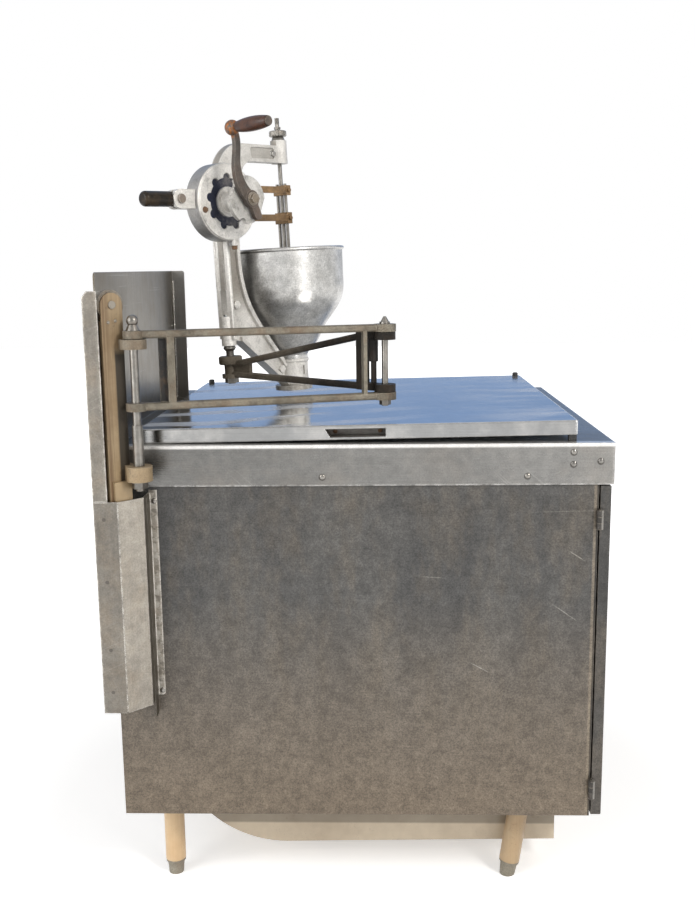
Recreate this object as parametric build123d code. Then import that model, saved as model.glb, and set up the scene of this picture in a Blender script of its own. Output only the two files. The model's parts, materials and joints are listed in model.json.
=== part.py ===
"""Donut fryer: cabinet fryer with a lift-off lid and a hand-cranked batter depositor on a swing arm.

Millimetres, +Z up, the door faces +X and the depositor mast stands on the -Y side.
The origin is on the floor, under the middle of the whole object.
"""
from build123d import *
from math import asin, atan2, cos, degrees, radians, sin, sqrt, tan
import os

# Counter and cabinet sizes
counter_length = 938.0
counter_width = 872.0
counter_height = 914.0
deck_sheet = 2.0
apron_height = 77.0
first_screw_from_rear = 405.0
second_screw_from_front = 158.0
third_screw_from_front = 75.0
corner_screw_from_front = 26.0
panel_sheet = 2.0
panel_setback = 4.0
panel_rear_setback = 7.0
underside_height = 180.0
jamb_return = 28.0
fit_gap = 0.3
guard_reach = 78.0

# Derived places: the guard stands out on the near side, so the cabinet sits off centre in Y
rear_x = -counter_length / 2
front_x = counter_length / 2
near_y = -(counter_width + guard_reach) / 2 + guard_reach
far_y = near_y + counter_width
mid_y = (near_y + far_y) / 2
panel_near = near_y + panel_setback
panel_far = far_y - panel_setback
panel_rear = rear_x + panel_rear_setback
apron_bottom = counter_height - apron_height
panel_top = counter_height - deck_sheet

# Base frame, legs and feet
frame_bar_width = 40.0
frame_wall = 4.0
leg_inset_y = 95.0
leg_rear_inset = 82.0
leg_front_inset = 146.0
leg_tube = 41.3
leg_wall = 3.0
front_leg_rake = 8.0
foot_height = 32.0
foot_top = 36.0
foot_tip = 29.0
foot_plug = 26.0
runner_width = 50.0

# Drain pan hung under the frame
pan_front = 71.0
pan_rear_gap = 99.0
pan_half_width = 308.0
pan_floor = 48.0
pan_fall = 9.0
pan_sheet = 2.0
pan_curve = 232.0
pan_rim = 24.0

# Door
door_thick = 20.0
door_sheet = 2.0
door_setback = 4.0
door_gap = 3.0
hinge_pin = 6.0
hinge_knuckle = 13.0
hinge_length = 36.0
hinge_clear = 0.8
hinge_low = 221.0
hinge_drop = 83.0
pull_width = 110.0
pull_height = 46.0
pull_depth = 14.0
pull_from_edge = 62.0
pull_drop = 354.0
catch_drop = 30.0
catch_length = 60.0

# Kettle, burner and pipes
kettle_margin = 100.5
kettle_depth = 190.0
kettle_sheet = 3.0
kettle_corner = 30.0
kettle_rim = 26.0
kettle_slope = 12.0
burner_tube = 38.0
burner_count = 4
burner_drop = 62.0
burner_rear_gap = 84.0
burner_stub = 14.0
port_start = 40.0
port_end = 80.0
manifold_pipe = 27.0
drain_pipe = 42.0
tray_drop = 120.0
knob_size = 52.0
stem_size = 10.0
control_setback = 58.0
control_drop = 284.0
thermostat_drop = 164.0
gas_valve_step = 84.0
valve_drop = 354.0
valve_radius = 30.0
spout_z = 250.0
pipe_gap = 3.0

# Lid
lid_front_gap = 65.0
lid_width = 786.0
lid_height = 27.0
lid_sheet = 1.5
lid_rear_gap = 62.0
lid_near_gap = 20.0
lid_front_lift = 12.0
lid_pull_width = 112.0
lid_pull_height = 16.0
lid_pull_low = 4.0
lid_pull_from_front = 407.0
bumper_size = 14.0

# Splash back
splash_height = 315.0
splash_sheet = 3.0
splash_wing = 33.0
splash_wing_corner = 6.0
splash_far_gap = 175.0
splash_foot_gap = 64.0
splash_corner = 22.0

# Lift mast, turned 45 degrees on the near rear corner
mast_from_rear = 40.0
mast_out = 53.0
mast_turn = 45.0
post_width = 42.0
post_thick = 20.0
post_drop = 152.0
sheave_rise = 259.0
sheave_slot = 12.0
sheave_width = 11.0
sheave_lip = 2.5
sheave_pin_size = 10.0
cable_size = 4.0
cable_gap = 0.5
slide_gap = 0.4
shoe_wall = 9.0
shoe_wrap = 11.0
guard_sheet = 1.5
upper_guard_width = 26.0
guard_hem = 3.0
guard_hem_deep = 2.2
guard_flange = 20.0
upper_guard_rise = 283.0
lower_guard_drop = 88.0
lower_guard_high = 399.0
lower_guard_front = 44.0
guard_chamfer = 38.0
strip_width = 15.0
strip_high = 432.0
weight_length = 210.0
weight_drop = 17.0

# Hinge rod and swing arms
rod_from_rear = 82.0
rod_out = 59.0
rod_size = 15.0
run_fit = 0.05
eye_radius = 23.0
upper_bracket_rise = 199.0
upper_bracket_thick = 17.0
lower_bracket_drop = 26.0
lower_bracket_thick = 27.0
arm_step = 1.0
inner_arm_length = 460.0
inner_arm_angle = 17.3
inner_bar = 14.0
inner_bar_wide = 18.0
bar_rounding = 0.36
inner_arm_rise = 73.0
inner_lug = 18.0
post_from_rod = 63.5
post_from_elbow = 40.0
elbow_lug = 21.0
elbow_post = 7.0
rod_post = 13.0
post_web = 14.0
post_web_back = 2.0
elbow_pin_size = 12.0
outer_arm_length = 421.0
outer_arm_angle = 141.3
outer_lug_thick = 14.0
outer_bar_wide = 16.0
outer_post = 54.0
forearm_bar_deep = 13.0
forearm_web = 62.0
spindle_boss = 14.0
spindle_lug = 25.0
spindle_lug_top = 11.0
spindle_lug_thick = 18.0
lower_lug = 20.0
lower_lug_thick = 9.0
spindle_boss_high = 36.0
spindle_rise = 124.0
spindle_size = 16.0

# Depositor, in its own upright plane from the spindle towards the hopper
depositor_angle = 50.0
depositor_lean = 2.5
reach = 186.0
web = 14.0
flange_wide = 30.0
column_foot = 33.0
nut_high = 11.0
column_left = -6.0
column_face = 46.0
rib_thick = 8.0
relief_deep = 3.0
drum_radius = 78.0
drum_depth = 44.0
drum_a = -15.0
drum_z = 328.0
goose_top = 452.0
goose_start = 52.0
throat_end = 90.0
panel_low = 150.0
goose_deep = 36.0
goose_wide = 24.0
goose_boss = 18.0
hopper_radius = 127.0
hopper_wall = 126.0
hopper_rim_z = 228.0
hopper_straight_z = 152.0
hopper_neck_z = -12.0
hopper_sheet = 2.0
hopper_bead = 4.0
barrel_radius = 31.0
barrel_bore = 25.0
barrel_bottom = -82.0
barrel_flange = 42.0
slot_low = -48.0
slot_high = -28.0
collar_radius = 35.0
barrel_bead = 38.0
rod_spread = 12.0
rod_proud = 4.0
piston_rod = 9.0
cutter_rod_size = 7.0
piston_height = 24.0
cutter_disc_thick = 5.0
stroke = 24.0
crank_throw = 139.7
crank_lean = 14.9
crank_bow = ((-27, 33), (-33, 66), (-28, 110))
crank_halves = (13.0, 11.0, 8.0, 6.5, 6.0)
crank_tail = (14.0, -32.0)
crank_tail_half = 9.0
hub_radius = 21.0
hub_length = 50.0
cam_radius = 47.0
cam_thick = 10.0
cam_notch = 8.0
cam_notches = (105, 140, 175, 250, 300)
grip_length = 84.0
grip_size = 28.0
foot_boss = 15.5
boss_top = 47.0
neck_start = 360.0
front_curve = ((60, 392), (37, 243), (54, 126), (104, 46), (158, -23))
leg_end_z = -70.0
goose_boss_top = 464.0
collar_low = -60.0
collar_top = -20.0
hopper_neck = 36.0
neck_top = -4.0
hopper_bowl = ((109, 98), (80, 60), (55, 18))
drum_wall = 5.0
cover_thick = 5.0
cover_ring = 4.0
ring_inside = 48.0
scallop = 9.0
scallop_count = 9
yoke_back = 15.5
yoke_front = 22.0
yoke_bar_high = 14.0
yoke_clamp = 8.0
yoke_wall = 6.0
yoke_start = 25.0
lower_yoke_z = 286.0
lower_yoke_high = 24.0
upper_yoke_z = 347.0
upper_yoke_high = 21.0
shaft_size = 16.0
crank_back = 108.0
crank_front = 120.0
ball_radius = 15.0
grip_pin_size = 8.0
piston_low = -40.0
rod_top = 512.0
dose_nut_size = 38.0
dose_nut_high = 21.0
dose_neck = 12.0
dose_neck_high = 8.0
lock_nut_rise = 3.0
lock_nut_high = 5.0
lock_nut_flat = 12.5
handle_root = -146.0
handle_end = -213.0
handle_b = 22.0
handle_size = 30.0
handle_bolt_size = 10.0
handle_bolt_from_root = 18.0
handle_rise = 6.0
clevis_half = 19.0

# Heights, all from the counter's top
hinge_high = apron_bottom - hinge_drop
pull_z = counter_height - pull_drop
control_low = counter_height - control_drop
thermostat_z = counter_height - thermostat_drop
valve_z = counter_height - valve_drop
post_bottom = counter_height - post_drop
sheave_z = counter_height + sheave_rise
upper_guard_top = counter_height + upper_guard_rise
lower_guard_top = counter_height - lower_guard_drop
lower_guard_bottom = lower_guard_top - lower_guard_high
strip_bottom = lower_guard_top - strip_high
upper_bracket_top = counter_height + upper_bracket_rise
lower_bracket_top = counter_height - lower_bracket_drop
inner_arm_low = counter_height + inner_arm_rise
spindle_seat = counter_height + spindle_rise
spindle_boss_low = spindle_seat - spindle_boss_high

# Lengths that follow the counter
lid_length = counter_length - lid_rear_gap - lid_front_gap
kettle_side = lid_length - 2 * kettle_margin
pan_length = counter_length - pan_front - pan_rear_gap

# Shared places worked out from the sizes above
rod_x = rear_x + rod_from_rear
rod_y = near_y - rod_out
mast_x = rear_x + mast_from_rear
mast_y = near_y - mast_out
inner_arm_top = upper_bracket_top + arm_step + inner_bar
elbow_x = rod_x + inner_arm_length * cos(radians(inner_arm_angle))
elbow_y = rod_y + inner_arm_length * sin(radians(inner_arm_angle))
spindle_x = elbow_x + outer_arm_length * cos(radians(outer_arm_angle))
spindle_y = elbow_y + outer_arm_length * sin(radians(outer_arm_angle))
door_front = front_x - door_setback
door_rear = door_front - door_thick
panel_front = door_rear - door_gap
hinge_x = door_rear - door_gap / 2
hinge_y = panel_near - hinge_knuckle / 2 - hinge_clear
door_top = apron_bottom - door_gap
door_bottom = underside_height + door_gap
kettle_x = rear_x + lid_rear_gap + lid_length / 2
kettle_y = near_y + lid_near_gap + lid_width / 2
kettle_floor = counter_height - kettle_depth
pitch_radius = post_width / 2 + cable_size / 2 + cable_gap
rim_radius = pitch_radius + sheave_lip
weight_top = post_bottom - weight_drop
upper_guard_bottom = lower_guard_top + fit_gap
guard_inner_x = rear_x + lower_guard_front + guard_chamfer
inner_low_top = inner_arm_low + inner_bar
inner_high_low = inner_arm_top - inner_bar
outer_low = inner_low_top + arm_step
outer_high = inner_high_low - arm_step
pull_y = panel_far - pull_from_edge
lid_tilt = degrees(atan2(lid_front_lift, lid_length))
lid_pull_x = lid_length - lid_pull_from_front

# The drain leaves low in the kettle's front wall and drops behind the gas manifold
kettle_front = kettle_x + kettle_side / 2 + kettle_sheet
drain_z = kettle_floor + drain_pipe / 2 + kettle_slope
drain_x = kettle_front + drain_pipe / 2 + pipe_gap
fire_box_half = kettle_side / 2 - 10
fire_box_floor = kettle_floor - kettle_sheet - tray_drop
burner_z = kettle_floor - burner_drop
burner_step = 2 * fire_box_half / burner_count
burner_places = [kettle_y - fire_box_half + burner_step * (i + 0.5) for i in range(burner_count)]
burner_mouth = kettle_x + fire_box_half + burner_stub
burner_length = 2 * fire_box_half + burner_stub - burner_rear_gap
manifold_x = drain_x + drain_pipe / 2 + manifold_pipe / 2 + pipe_gap - 1
control_x = panel_front - control_setback
thermostat_y = mid_y - counter_width / 4
gas_y = burner_places[-1] + gas_valve_step

# Crank ball and grip, in the depositor's own plane
ball_a = drum_a - crank_throw * sin(radians(crank_lean))
ball_z = drum_z + crank_throw * cos(radians(crank_lean))
grip_near = (crank_back + crank_front) / 2 + ball_radius + 1
grip_far = grip_near + grip_length
handle_bolt_a = handle_root + handle_bolt_from_root
handle_z = drum_z + handle_rise

mast_at = Pos(mast_x, mast_y, 0) * Rot(0, 0, mast_turn)
inner_at = Pos(rod_x, rod_y, 0) * Rot(0, 0, inner_arm_angle)
outer_at = Pos(elbow_x, elbow_y, 0) * Rot(0, 0, outer_arm_angle)
spindle_at = Pos(spindle_x, spindle_y, spindle_seat) * Rot(0, -depositor_lean, 0)
depositor_at = spindle_at * Rot(0, 0, depositor_angle)
lid_at = Pos(rear_x + lid_rear_gap, near_y + lid_near_gap, counter_height + fit_gap) * Rot(0, -lid_tilt, 0)


def block(x0, x1, y0, y1, z0, z1):
    """Box between two corners."""
    return Pos((x0 + x1) / 2, (y0 + y1) / 2, (z0 + z1) / 2) * Box(x1 - x0, y1 - y0, z1 - z0)


def upright(x, y, z0, z1, radius):
    """Round bar standing on the XY plane at a height."""
    return Pos(x, y, (z0 + z1) / 2) * Cylinder(radius, z1 - z0)


def ring(x, y, z0, z1, outer, inner):
    """Round tube standing upright."""
    return upright(x, y, z0, z1, outer) - upright(x, y, z0 - 1, z1 + 1, inner)


def along_y(x, z, y0, y1, radius):
    """Round bar along Y."""
    return Pos(x, (y0 + y1) / 2, z) * Rot(90, 0, 0) * Cylinder(radius, y1 - y0)


def along_x(y, z, x0, x1, radius):
    """Round bar along X."""
    return Pos((x0 + x1) / 2, y, z) * Rot(0, 90, 0) * Cylinder(radius, x1 - x0)


def standing_cone(low_radius, high_radius, height):
    """Cone standing on its own origin."""
    return Cone(low_radius, high_radius, height, align=(Align.CENTER, Align.CENTER, Align.MIN))


def plate_xz(points, y0, y1):
    """Flat plate with an outline in the XZ plane, from y0 to y1."""
    face = make_face(Polyline(*points, close=True))
    return Pos(0, y1, 0) * extrude(Plane.XZ * face, y1 - y0)


def save(shape, name):
    """Write one named piece."""
    export_step(shape, f"parts/{name}.step")


def group(solids):
    """Separate solids kept together as one named piece."""
    return Compound(children=[s for shape in solids for s in shape.solids()])


def base_frame():
    """Angle-iron ring with two runners that carry the legs and the drain pan."""
    x0, x1 = panel_rear + panel_sheet, panel_front - panel_sheet
    y0, y1 = panel_near + panel_sheet, panel_far - panel_sheet
    z0, z1 = underside_height, underside_height + frame_bar_width
    body = block(x0, x1, y0, y1, z0, z1)
    body -= block(x0 + frame_wall, x1 - frame_wall, y0 + frame_wall, y1 - frame_wall, z0 + frame_wall, z1 + 1)
    bar = frame_bar_width
    body -= block(x0 + bar, x1 - bar, y0 + bar, y1 - bar, z0 - 1, z1)
    for side in (-1, 1):
        y = mid_y + side * (counter_width / 2 - leg_inset_y)
        outer = y + side * runner_width / 2
        inner = outer - side * frame_wall
        body += block(x0, x1, y - runner_width / 2, y + runner_width / 2, z0, z0 + frame_wall)
        body += block(x0, x1, min(outer, inner), max(outer, inner), z0, z1)
    return body


def side_panel(outer, inward):
    """Folded side sheet with a jamb along its front edge; inward is the sign of Y towards the inside."""
    skin = sorted((outer, outer + inward * panel_sheet))
    body = block(panel_rear, panel_front, skin[0], skin[1], underside_height, panel_top)
    jamb = sorted((outer, outer + inward * jamb_return))
    body += block(panel_front - panel_sheet, panel_front, jamb[0], jamb[1], underside_height, apron_bottom + 20)
    return body


def back_panel():
    """Rear sheet with two rows of air slots."""
    y0, y1 = panel_near + panel_sheet, panel_far - panel_sheet
    body = block(panel_rear, panel_rear + panel_sheet, y0, y1, underside_height, panel_top)
    slot_long, slot_high, slot_step, slot_count = 90.0, 10.0, 24.0, 6
    for row in range(slot_count):
        for side in (-1, 1):
            y = mid_y + side * counter_width / 4
            z = underside_height + 110 + row * slot_step
            slot = block(panel_rear - 1, panel_rear + panel_sheet + 1, y - slot_long, y + slot_long,
                         z, z + slot_high)
            body -= fillet(slot.edges().filter_by(Axis.X), slot_high / 2 - 0.1)
    return body


def counter_top():
    """Folded deck with a deep apron all round and the kettle opening."""
    corner = 4.0
    body = block(rear_x, front_x, near_y, far_y, apron_bottom, counter_height)
    body = fillet(body.edges().filter_by(Axis.Z), corner)
    inside = block(rear_x + deck_sheet, front_x - deck_sheet, near_y + deck_sheet, far_y - deck_sheet,
                   apron_bottom - 1, counter_height - deck_sheet)
    body -= fillet(inside.edges().filter_by(Axis.Z), corner - deck_sheet)
    half = kettle_side / 2
    hole = block(kettle_x - half, kettle_x + half, kettle_y - half, kettle_y + half,
                 apron_bottom, counter_height + 1)
    return body - fillet(hole.edges().filter_by(Axis.Z), kettle_corner)


def apron_screws():
    """Dome screws that hold the apron to the side panels, near and far."""
    head, dome = 4.0, 2.4
    out = []
    low, high, middle = apron_height * 0.78, apron_height * 0.21, apron_height * 0.5
    third_x = front_x - third_screw_from_front
    rows = ((rear_x + first_screw_from_rear, low), (front_x - second_screw_from_front, low), (third_x, high),
            (third_x, middle), (front_x - corner_screw_from_front, apron_height * 0.43))
    for x, drop in rows:
        z = counter_height - drop
        for face, sign in ((near_y, 1), (far_y, -1)):
            out.append(Pos(x, face, z) * Rot(90 * sign, 0, 0) * standing_cone(head, head * 0.55, dome))
    return group(out)


def splash_back():
    """Rear splash sheet with a narrow return at the far end and a foot on the deck."""
    top, end = counter_height + splash_height, far_y - splash_far_gap
    body = block(rear_x, rear_x + splash_sheet, near_y, end, counter_height, top)
    body = fillet(body.edges().filter_by(Axis.X).group_by(Axis.Z)[-1].sort_by(Axis.Y)[:1], splash_corner / 2)
    wing = block(rear_x, rear_x + splash_wing, end - splash_sheet, end, counter_height, top)
    wing = fillet(wing.edges().filter_by(Axis.Y).group_by(Axis.Z)[-1].sort_by(Axis.X)[-1:], splash_wing_corner)
    foot = block(rear_x, rear_x + splash_wing, near_y + splash_foot_gap, end, counter_height,
                 counter_height + splash_sheet)
    return body + wing + foot


def kettle():
    """Square frying kettle, welded by its rim under the deck, with a drain hole in the front wall."""
    half = kettle_side / 2
    outer = block(kettle_x - half - kettle_sheet, kettle_x + half + kettle_sheet,
                  kettle_y - half - kettle_sheet, kettle_y + half + kettle_sheet,
                  kettle_floor - kettle_sheet, panel_top)
    outer = fillet(outer.edges().filter_by(Axis.Z), kettle_corner + kettle_sheet)
    outer = fillet(outer.edges().group_by(Axis.Z)[0], kettle_slope + kettle_sheet)
    rim = half + kettle_rim
    flange = block(kettle_x - rim, kettle_x + rim, kettle_y - rim, kettle_y + rim,
                   panel_top - kettle_sheet, panel_top)
    flange = fillet(flange.edges().filter_by(Axis.Z), kettle_corner + kettle_rim)
    inside = block(kettle_x - half, kettle_x + half, kettle_y - half, kettle_y + half,
                   kettle_floor, panel_top + 1)
    inside = fillet(inside.edges().filter_by(Axis.Z), kettle_corner)
    inside = fillet(inside.edges().group_by(Axis.Z)[0], kettle_slope)
    drain = along_x(kettle_y, drain_z, kettle_x + half - 5, kettle_x + half + 10, drain_pipe / 2 - 4)
    return outer + flange - inside - drain


def fire_box():
    """Open sheet box under the kettle that holds the burners and turns the heat up."""
    sheet = 2.0
    x0, x1 = kettle_x - fire_box_half, kettle_x + fire_box_half
    y0, y1 = kettle_y - fire_box_half, kettle_y + fire_box_half
    top = kettle_floor - kettle_sheet
    body = block(x0, x1, y0, y1, fire_box_floor, top)
    body -= block(x0 + sheet, x1 - sheet, y0 + sheet, y1 - sheet, fire_box_floor + sheet, top + 1)
    for y in burner_places:
        body -= along_x(y, burner_z, x1 - sheet - 1, x1 + 1, burner_tube / 2 + fit_gap)
    return body


def burner_tubes():
    """Four pipe burners with a row of gas ports on top and an open mouth at the front."""
    wall, port, ports = 3.0, 3.0, 10
    x1 = burner_mouth
    x0 = x1 - burner_length
    out = []
    for y in burner_places:
        tube = along_x(y, burner_z, x0, x1, burner_tube / 2)
        tube -= along_x(y, burner_z, x0 + wall, x1 + 1, burner_tube / 2 - wall)
        for i in range(ports):
            x = x0 + port_start + i * (burner_length - port_start - port_end) / (ports - 1)
            tube -= upright(x, y, burner_z, burner_z + burner_tube, port)
        foot = block(x0 + 20, x0 + 36, y - 12, y + 12, fire_box_floor + 2.0, burner_z - burner_tube / 2 + 3)
        out.append(tube + (foot - along_x(y, burner_z, x0, x1, burner_tube / 2 - wall)))
    return group(out)


def gas_manifold():
    """Gas pipe across the burner mouths with one spud for each burner."""
    spud, overlap = 7.0, 8.0
    pipe = along_y(manifold_x, burner_z, burner_places[0] - 40, gas_y - 24, manifold_pipe / 2)
    for y in burner_places:
        pipe += along_x(y, burner_z, burner_mouth - overlap, manifold_x, spud)
    return pipe


def gas_valve():
    """Gas cock on the manifold's far end with its stem through the control panel."""
    half = manifold_pipe / 2 + 2
    body = block(manifold_x - half, manifold_x + half, gas_y - 24, gas_y + 24, burner_z - 22, burner_z + 22)
    body = fillet(body.edges().filter_by(Axis.X), 8)
    return body + along_x(gas_y, burner_z, manifold_x, control_x + 12, stem_size / 2)


def control_panel():
    """Sheet across the front opening that carries the thermostat and hides the burner mouths."""
    sheet, lip = 2.0, 16.0
    y0, y1 = panel_near + panel_sheet, panel_far - panel_sheet
    body = block(control_x, control_x + sheet, y0, y1, control_low, apron_bottom + 30)
    body += block(control_x - lip, control_x, y0, y1, control_low, control_low + sheet)
    for y, z in ((gas_y, burner_z), (thermostat_y, thermostat_z)):
        body -= along_x(y, z, control_x - 1, control_x + sheet + 1, stem_size / 2 + fit_gap)
    return body


def thermostat():
    """Thermostat body behind the control panel with its stem."""
    half_y, half_z = 30.0, 28.0
    body = block(control_x - 46, control_x, thermostat_y - half_y, thermostat_y + half_y,
                 thermostat_z - half_z, thermostat_z + half_z)
    body = fillet(body.edges().filter_by(Axis.X), 6)
    return body + along_x(thermostat_y, thermostat_z, control_x - 1, control_x + 12, stem_size / 2)


def knob(y, z):
    """Round fluted knob with a pointer rib, pushed on a stem of the control panel."""
    depth, flutes = 24.0, 10
    x0 = control_x + 2.0 + fit_gap
    body = along_x(y, z, x0, x0 + depth, knob_size / 2)
    body = fillet(body.edges().group_by(Axis.X)[-1], 3)
    for i in range(flutes):
        turn = radians(360 / flutes * (i + 0.5))
        r = knob_size / 2 + 1.5
        body -= along_x(y + r * sin(turn), z + r * cos(turn), x0 + 7, x0 + depth + 1, 4)
    body += block(x0 + depth - 2, x0 + depth + 3, y - 2.5, y + 2.5, z, z + knob_size / 2 - 3)
    return body - along_x(y, z, x0 - 1, control_x + 12 + fit_gap, stem_size / 2 + run_fit)


def drain_pipe_run():
    """Drain from the kettle's front wall, round an elbow and down to a spout over the pan."""
    r, wall = drain_pipe / 2, 4.0
    run = along_x(kettle_y, drain_z, kettle_front, drain_x, r) + Pos(drain_x, kettle_y, drain_z) * Sphere(r)
    run += upright(drain_x, kettle_y, valve_z + valve_radius, drain_z, r)
    bore = along_x(kettle_y, drain_z, kettle_front - 1, drain_x, r - wall)
    bore += Pos(drain_x, kettle_y, drain_z) * Sphere(r - wall)
    bore += upright(drain_x, kettle_y, valve_z + valve_radius - 1, drain_z, r - wall)
    return run - bore


def drain_valve():
    """Ball valve body with hexagon ends, its stem towards the door and the spout below."""
    r = drain_pipe / 2
    body = Pos(drain_x, kettle_y, valve_z) * Sphere(valve_radius + 4)
    body += upright(drain_x, kettle_y, valve_z - valve_radius - 16, valve_z + valve_radius, r + 4)
    room = 2 * valve_radius
    body &= block(drain_x - room, drain_x + room, kettle_y - room, kettle_y + room,
                  valve_z - valve_radius - 16, valve_z + valve_radius)
    body += upright(drain_x, kettle_y, spout_z, valve_z - valve_radius, r)
    body -= upright(drain_x, kettle_y, spout_z - 1, valve_z + valve_radius + 1, r - 4)
    return body + along_x(kettle_y, valve_z, drain_x + r, drain_x + 50, 7)


def drain_handle():
    """Flat valve lever with a folded grip, turned a quarter turn to open."""
    x0, lever = drain_x + 40, 130.0
    plate = block(x0, x0 + 4, kettle_y - lever, kettle_y + 14, valve_z - 11, valve_z + 11)
    plate = fillet(plate.edges().filter_by(Axis.X), 9)
    plate += block(x0, x0 + 14, kettle_y - lever + 4, kettle_y - lever + 70, valve_z + 8, valve_z + 11)
    return plate - along_x(kettle_y, valve_z, x0 - 1, x0 + 6, 7 + run_fit)


def leg_places():
    """Leg tops as x, side and rake: the front pair leans back at the foot."""
    rear, front = rear_x + leg_rear_inset, front_x - leg_front_inset
    return [(x, side, rake) for x, rake in ((rear, 0.0), (front, front_leg_rake)) for side in (-1, 1)]


def leg_seat(x, side, rake):
    """Frame of one leg: origin at its top under the runner, Z down the tube's own axis upwards."""
    y = mid_y + side * (counter_width / 2 - leg_inset_y)
    return Pos(x, y, underside_height) * Rot(0, rake, 0)


def trimmed(shape, low, high):
    """Part of a shape between two heights."""
    big = 4 * counter_length
    return shape & block(-big, big, -big, big, low, high)


def legs():
    """Round tube legs, cut square to the frame at the top."""
    out = []
    for x, side, rake in leg_places():
        length = (underside_height - foot_height) / cos(radians(rake))
        tube = ring(0, 0, -length, 12, leg_tube / 2, leg_tube / 2 - leg_wall)
        out.append(trimmed(leg_seat(x, side, rake) * tube, 0, underside_height))
    return group(out)


def feet():
    """Tapered bullet feet with a screw stem up inside each leg."""
    out = []
    for x, side, rake in leg_places():
        length = (underside_height - foot_height) / cos(radians(rake))
        drop = underside_height / cos(radians(rake))
        cone = standing_cone(foot_top / 2, foot_tip / 2, drop - length + 8)
        taper = Pos(0, 0, -length) * Rot(180, 0, 0) * cone
        collar = upright(0, 0, -length - 5, -length, leg_tube / 2 - 0.5)
        plug = upright(0, 0, -length, -length + foot_plug, leg_tube / 2 - leg_wall - run_fit)
        out.append(trimmed(leg_seat(x, side, rake) * (taper + collar + plug), 0, underside_height))
    return group(out)


def drain_pan():
    """Sheet pan with a long curved rear bottom, hung by side rims on the runners."""
    x1 = front_x - pan_front
    x0 = x1 - pan_length
    rim_z = underside_height + frame_wall
    rise = rim_z - pan_floor

    def trough(inset, top):
        radius = pan_curve - inset
        bend_x = sqrt(radius ** 2 - (radius - rise + inset) ** 2) if rise < pan_curve else radius
        start = x0 + bend_x + inset
        floor = pan_floor + inset
        arc_top = (x0 + inset, rim_z)
        middle_turn = degrees(asin(bend_x / radius)) / 2
        middle = (start - radius * sin(radians(middle_turn)),
                  floor + radius * (1 - cos(radians(middle_turn))))
        front, front_floor = x1 - inset, floor + pan_fall
        edges = [ThreePointArc(arc_top, middle, (start, floor)), Line((start, floor), (front, front_floor)),
                 Line((front, front_floor), (front, top)), Line((front, top), (x0 + inset, top))]
        if top > rim_z:
            edges.append(Line((x0 + inset, top), arc_top))
        face = make_face(edges)
        half = pan_half_width - inset
        return Pos(0, mid_y + half, 0) * extrude(Plane.XZ * face, 2 * half)

    body = trough(0.0, rim_z) - trough(pan_sheet, rim_z + 1)
    for side in (-1, 1):
        edge = mid_y + side * pan_half_width
        ys = sorted((edge - side * pan_sheet, edge + side * pan_rim))
        body += block(x0 + 10, x1, ys[0], ys[1], rim_z, rim_z + pan_sheet)
    return body


def door():
    """Door pan: one sheet folded back all round, with the opening for the pull."""
    body = block(door_rear, door_front, panel_near, panel_far, door_bottom, door_top)
    body = fillet(body.edges().group_by(Axis.X)[-1], 2.5)
    body -= block(door_rear - 1, door_front - door_sheet, panel_near + door_sheet, panel_far - door_sheet,
                  door_bottom + door_sheet, door_top - door_sheet)
    return body - pull_opening(door_front - door_sheet - 1, door_front + 1, 0.0)


def pull_opening(x0, x1, grow):
    """Upright opening of the recessed door pull, grown on all sides."""
    half_y, half_z = pull_height / 2 + grow, pull_width / 2 + grow
    body = block(x0, x1, pull_y - half_y, pull_y + half_y, pull_z - half_z, pull_z + half_z)
    return fillet(body.edges().filter_by(Axis.X), 8 + grow)


def door_pull():
    """Recessed cup that the fingers reach into, with a thin rim on the door's face."""
    wall = 1.5
    cup = pull_opening(door_front - pull_depth, door_front, -fit_gap)
    cup += pull_opening(door_front, door_front + wall, 6.0)
    return cup - pull_opening(door_front - pull_depth + wall, door_front + wall + 1, -fit_gap - wall)


def door_liner():
    """Flat inner sheet that closes the door pan."""
    return block(door_rear, door_rear + 1.5, panel_near + door_sheet, panel_far - door_sheet,
                 door_bottom + door_sheet, door_top - door_sheet)


def hinge_leaf(z0, z1, x0, x1):
    """Hinge leaf in the gap between jamb and door, from the knuckle inwards."""
    return block(x0, x1, hinge_y, hinge_y + 34, z0, z1)


def door_hinges(moving):
    """Butt hinges with three knuckles: the middle one turns with the door, the rest hold the pin."""
    leaf, third = 1.2, hinge_length / 3
    out = []
    for z in (hinge_low, hinge_high):
        cuts = (z + third, z + 2 * third)
        pin = upright(hinge_x, hinge_y, z - 1.5, z + hinge_length + 1.5, hinge_pin / 2)
        hole = upright(hinge_x, hinge_y, z - 1, z + hinge_length + 1, hinge_pin / 2 + run_fit)
        middle = block(hinge_x - 40, hinge_x + 40, hinge_y - 40, hinge_y + 60, cuts[0], cuts[1])
        barrel = upright(hinge_x, hinge_y, z, z + hinge_length, hinge_knuckle / 2)
        if moving:
            plate = hinge_leaf(z, z + hinge_length, door_rear - leaf, door_rear)
            plate -= upright(hinge_x, hinge_y, z - 1, z + hinge_length + 1, hinge_knuckle / 2 + fit_gap)
            plate += hinge_leaf(cuts[0] + fit_gap, cuts[1] - fit_gap, door_rear - leaf, door_rear)
            knuckle = upright(hinge_x, hinge_y, cuts[0] + fit_gap, cuts[1] - fit_gap, hinge_knuckle / 2)
            out.append(plate + knuckle - hole)
        else:
            plate = hinge_leaf(z, z + hinge_length, panel_front, panel_front + leaf)
            plate -= middle & upright(hinge_x, hinge_y, z, z + hinge_length, hinge_knuckle / 2 + fit_gap)
            out.append(plate + (barrel - middle) + pin)
    return group(out)


def door_catch():
    """Magnetic catch strip on the far jamb, just clear of the closed door."""
    return block(panel_front, door_rear - fit_gap, panel_far - jamb_return + 4, panel_far - 8,
                 door_top - catch_drop - catch_length, door_top - catch_drop)


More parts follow.
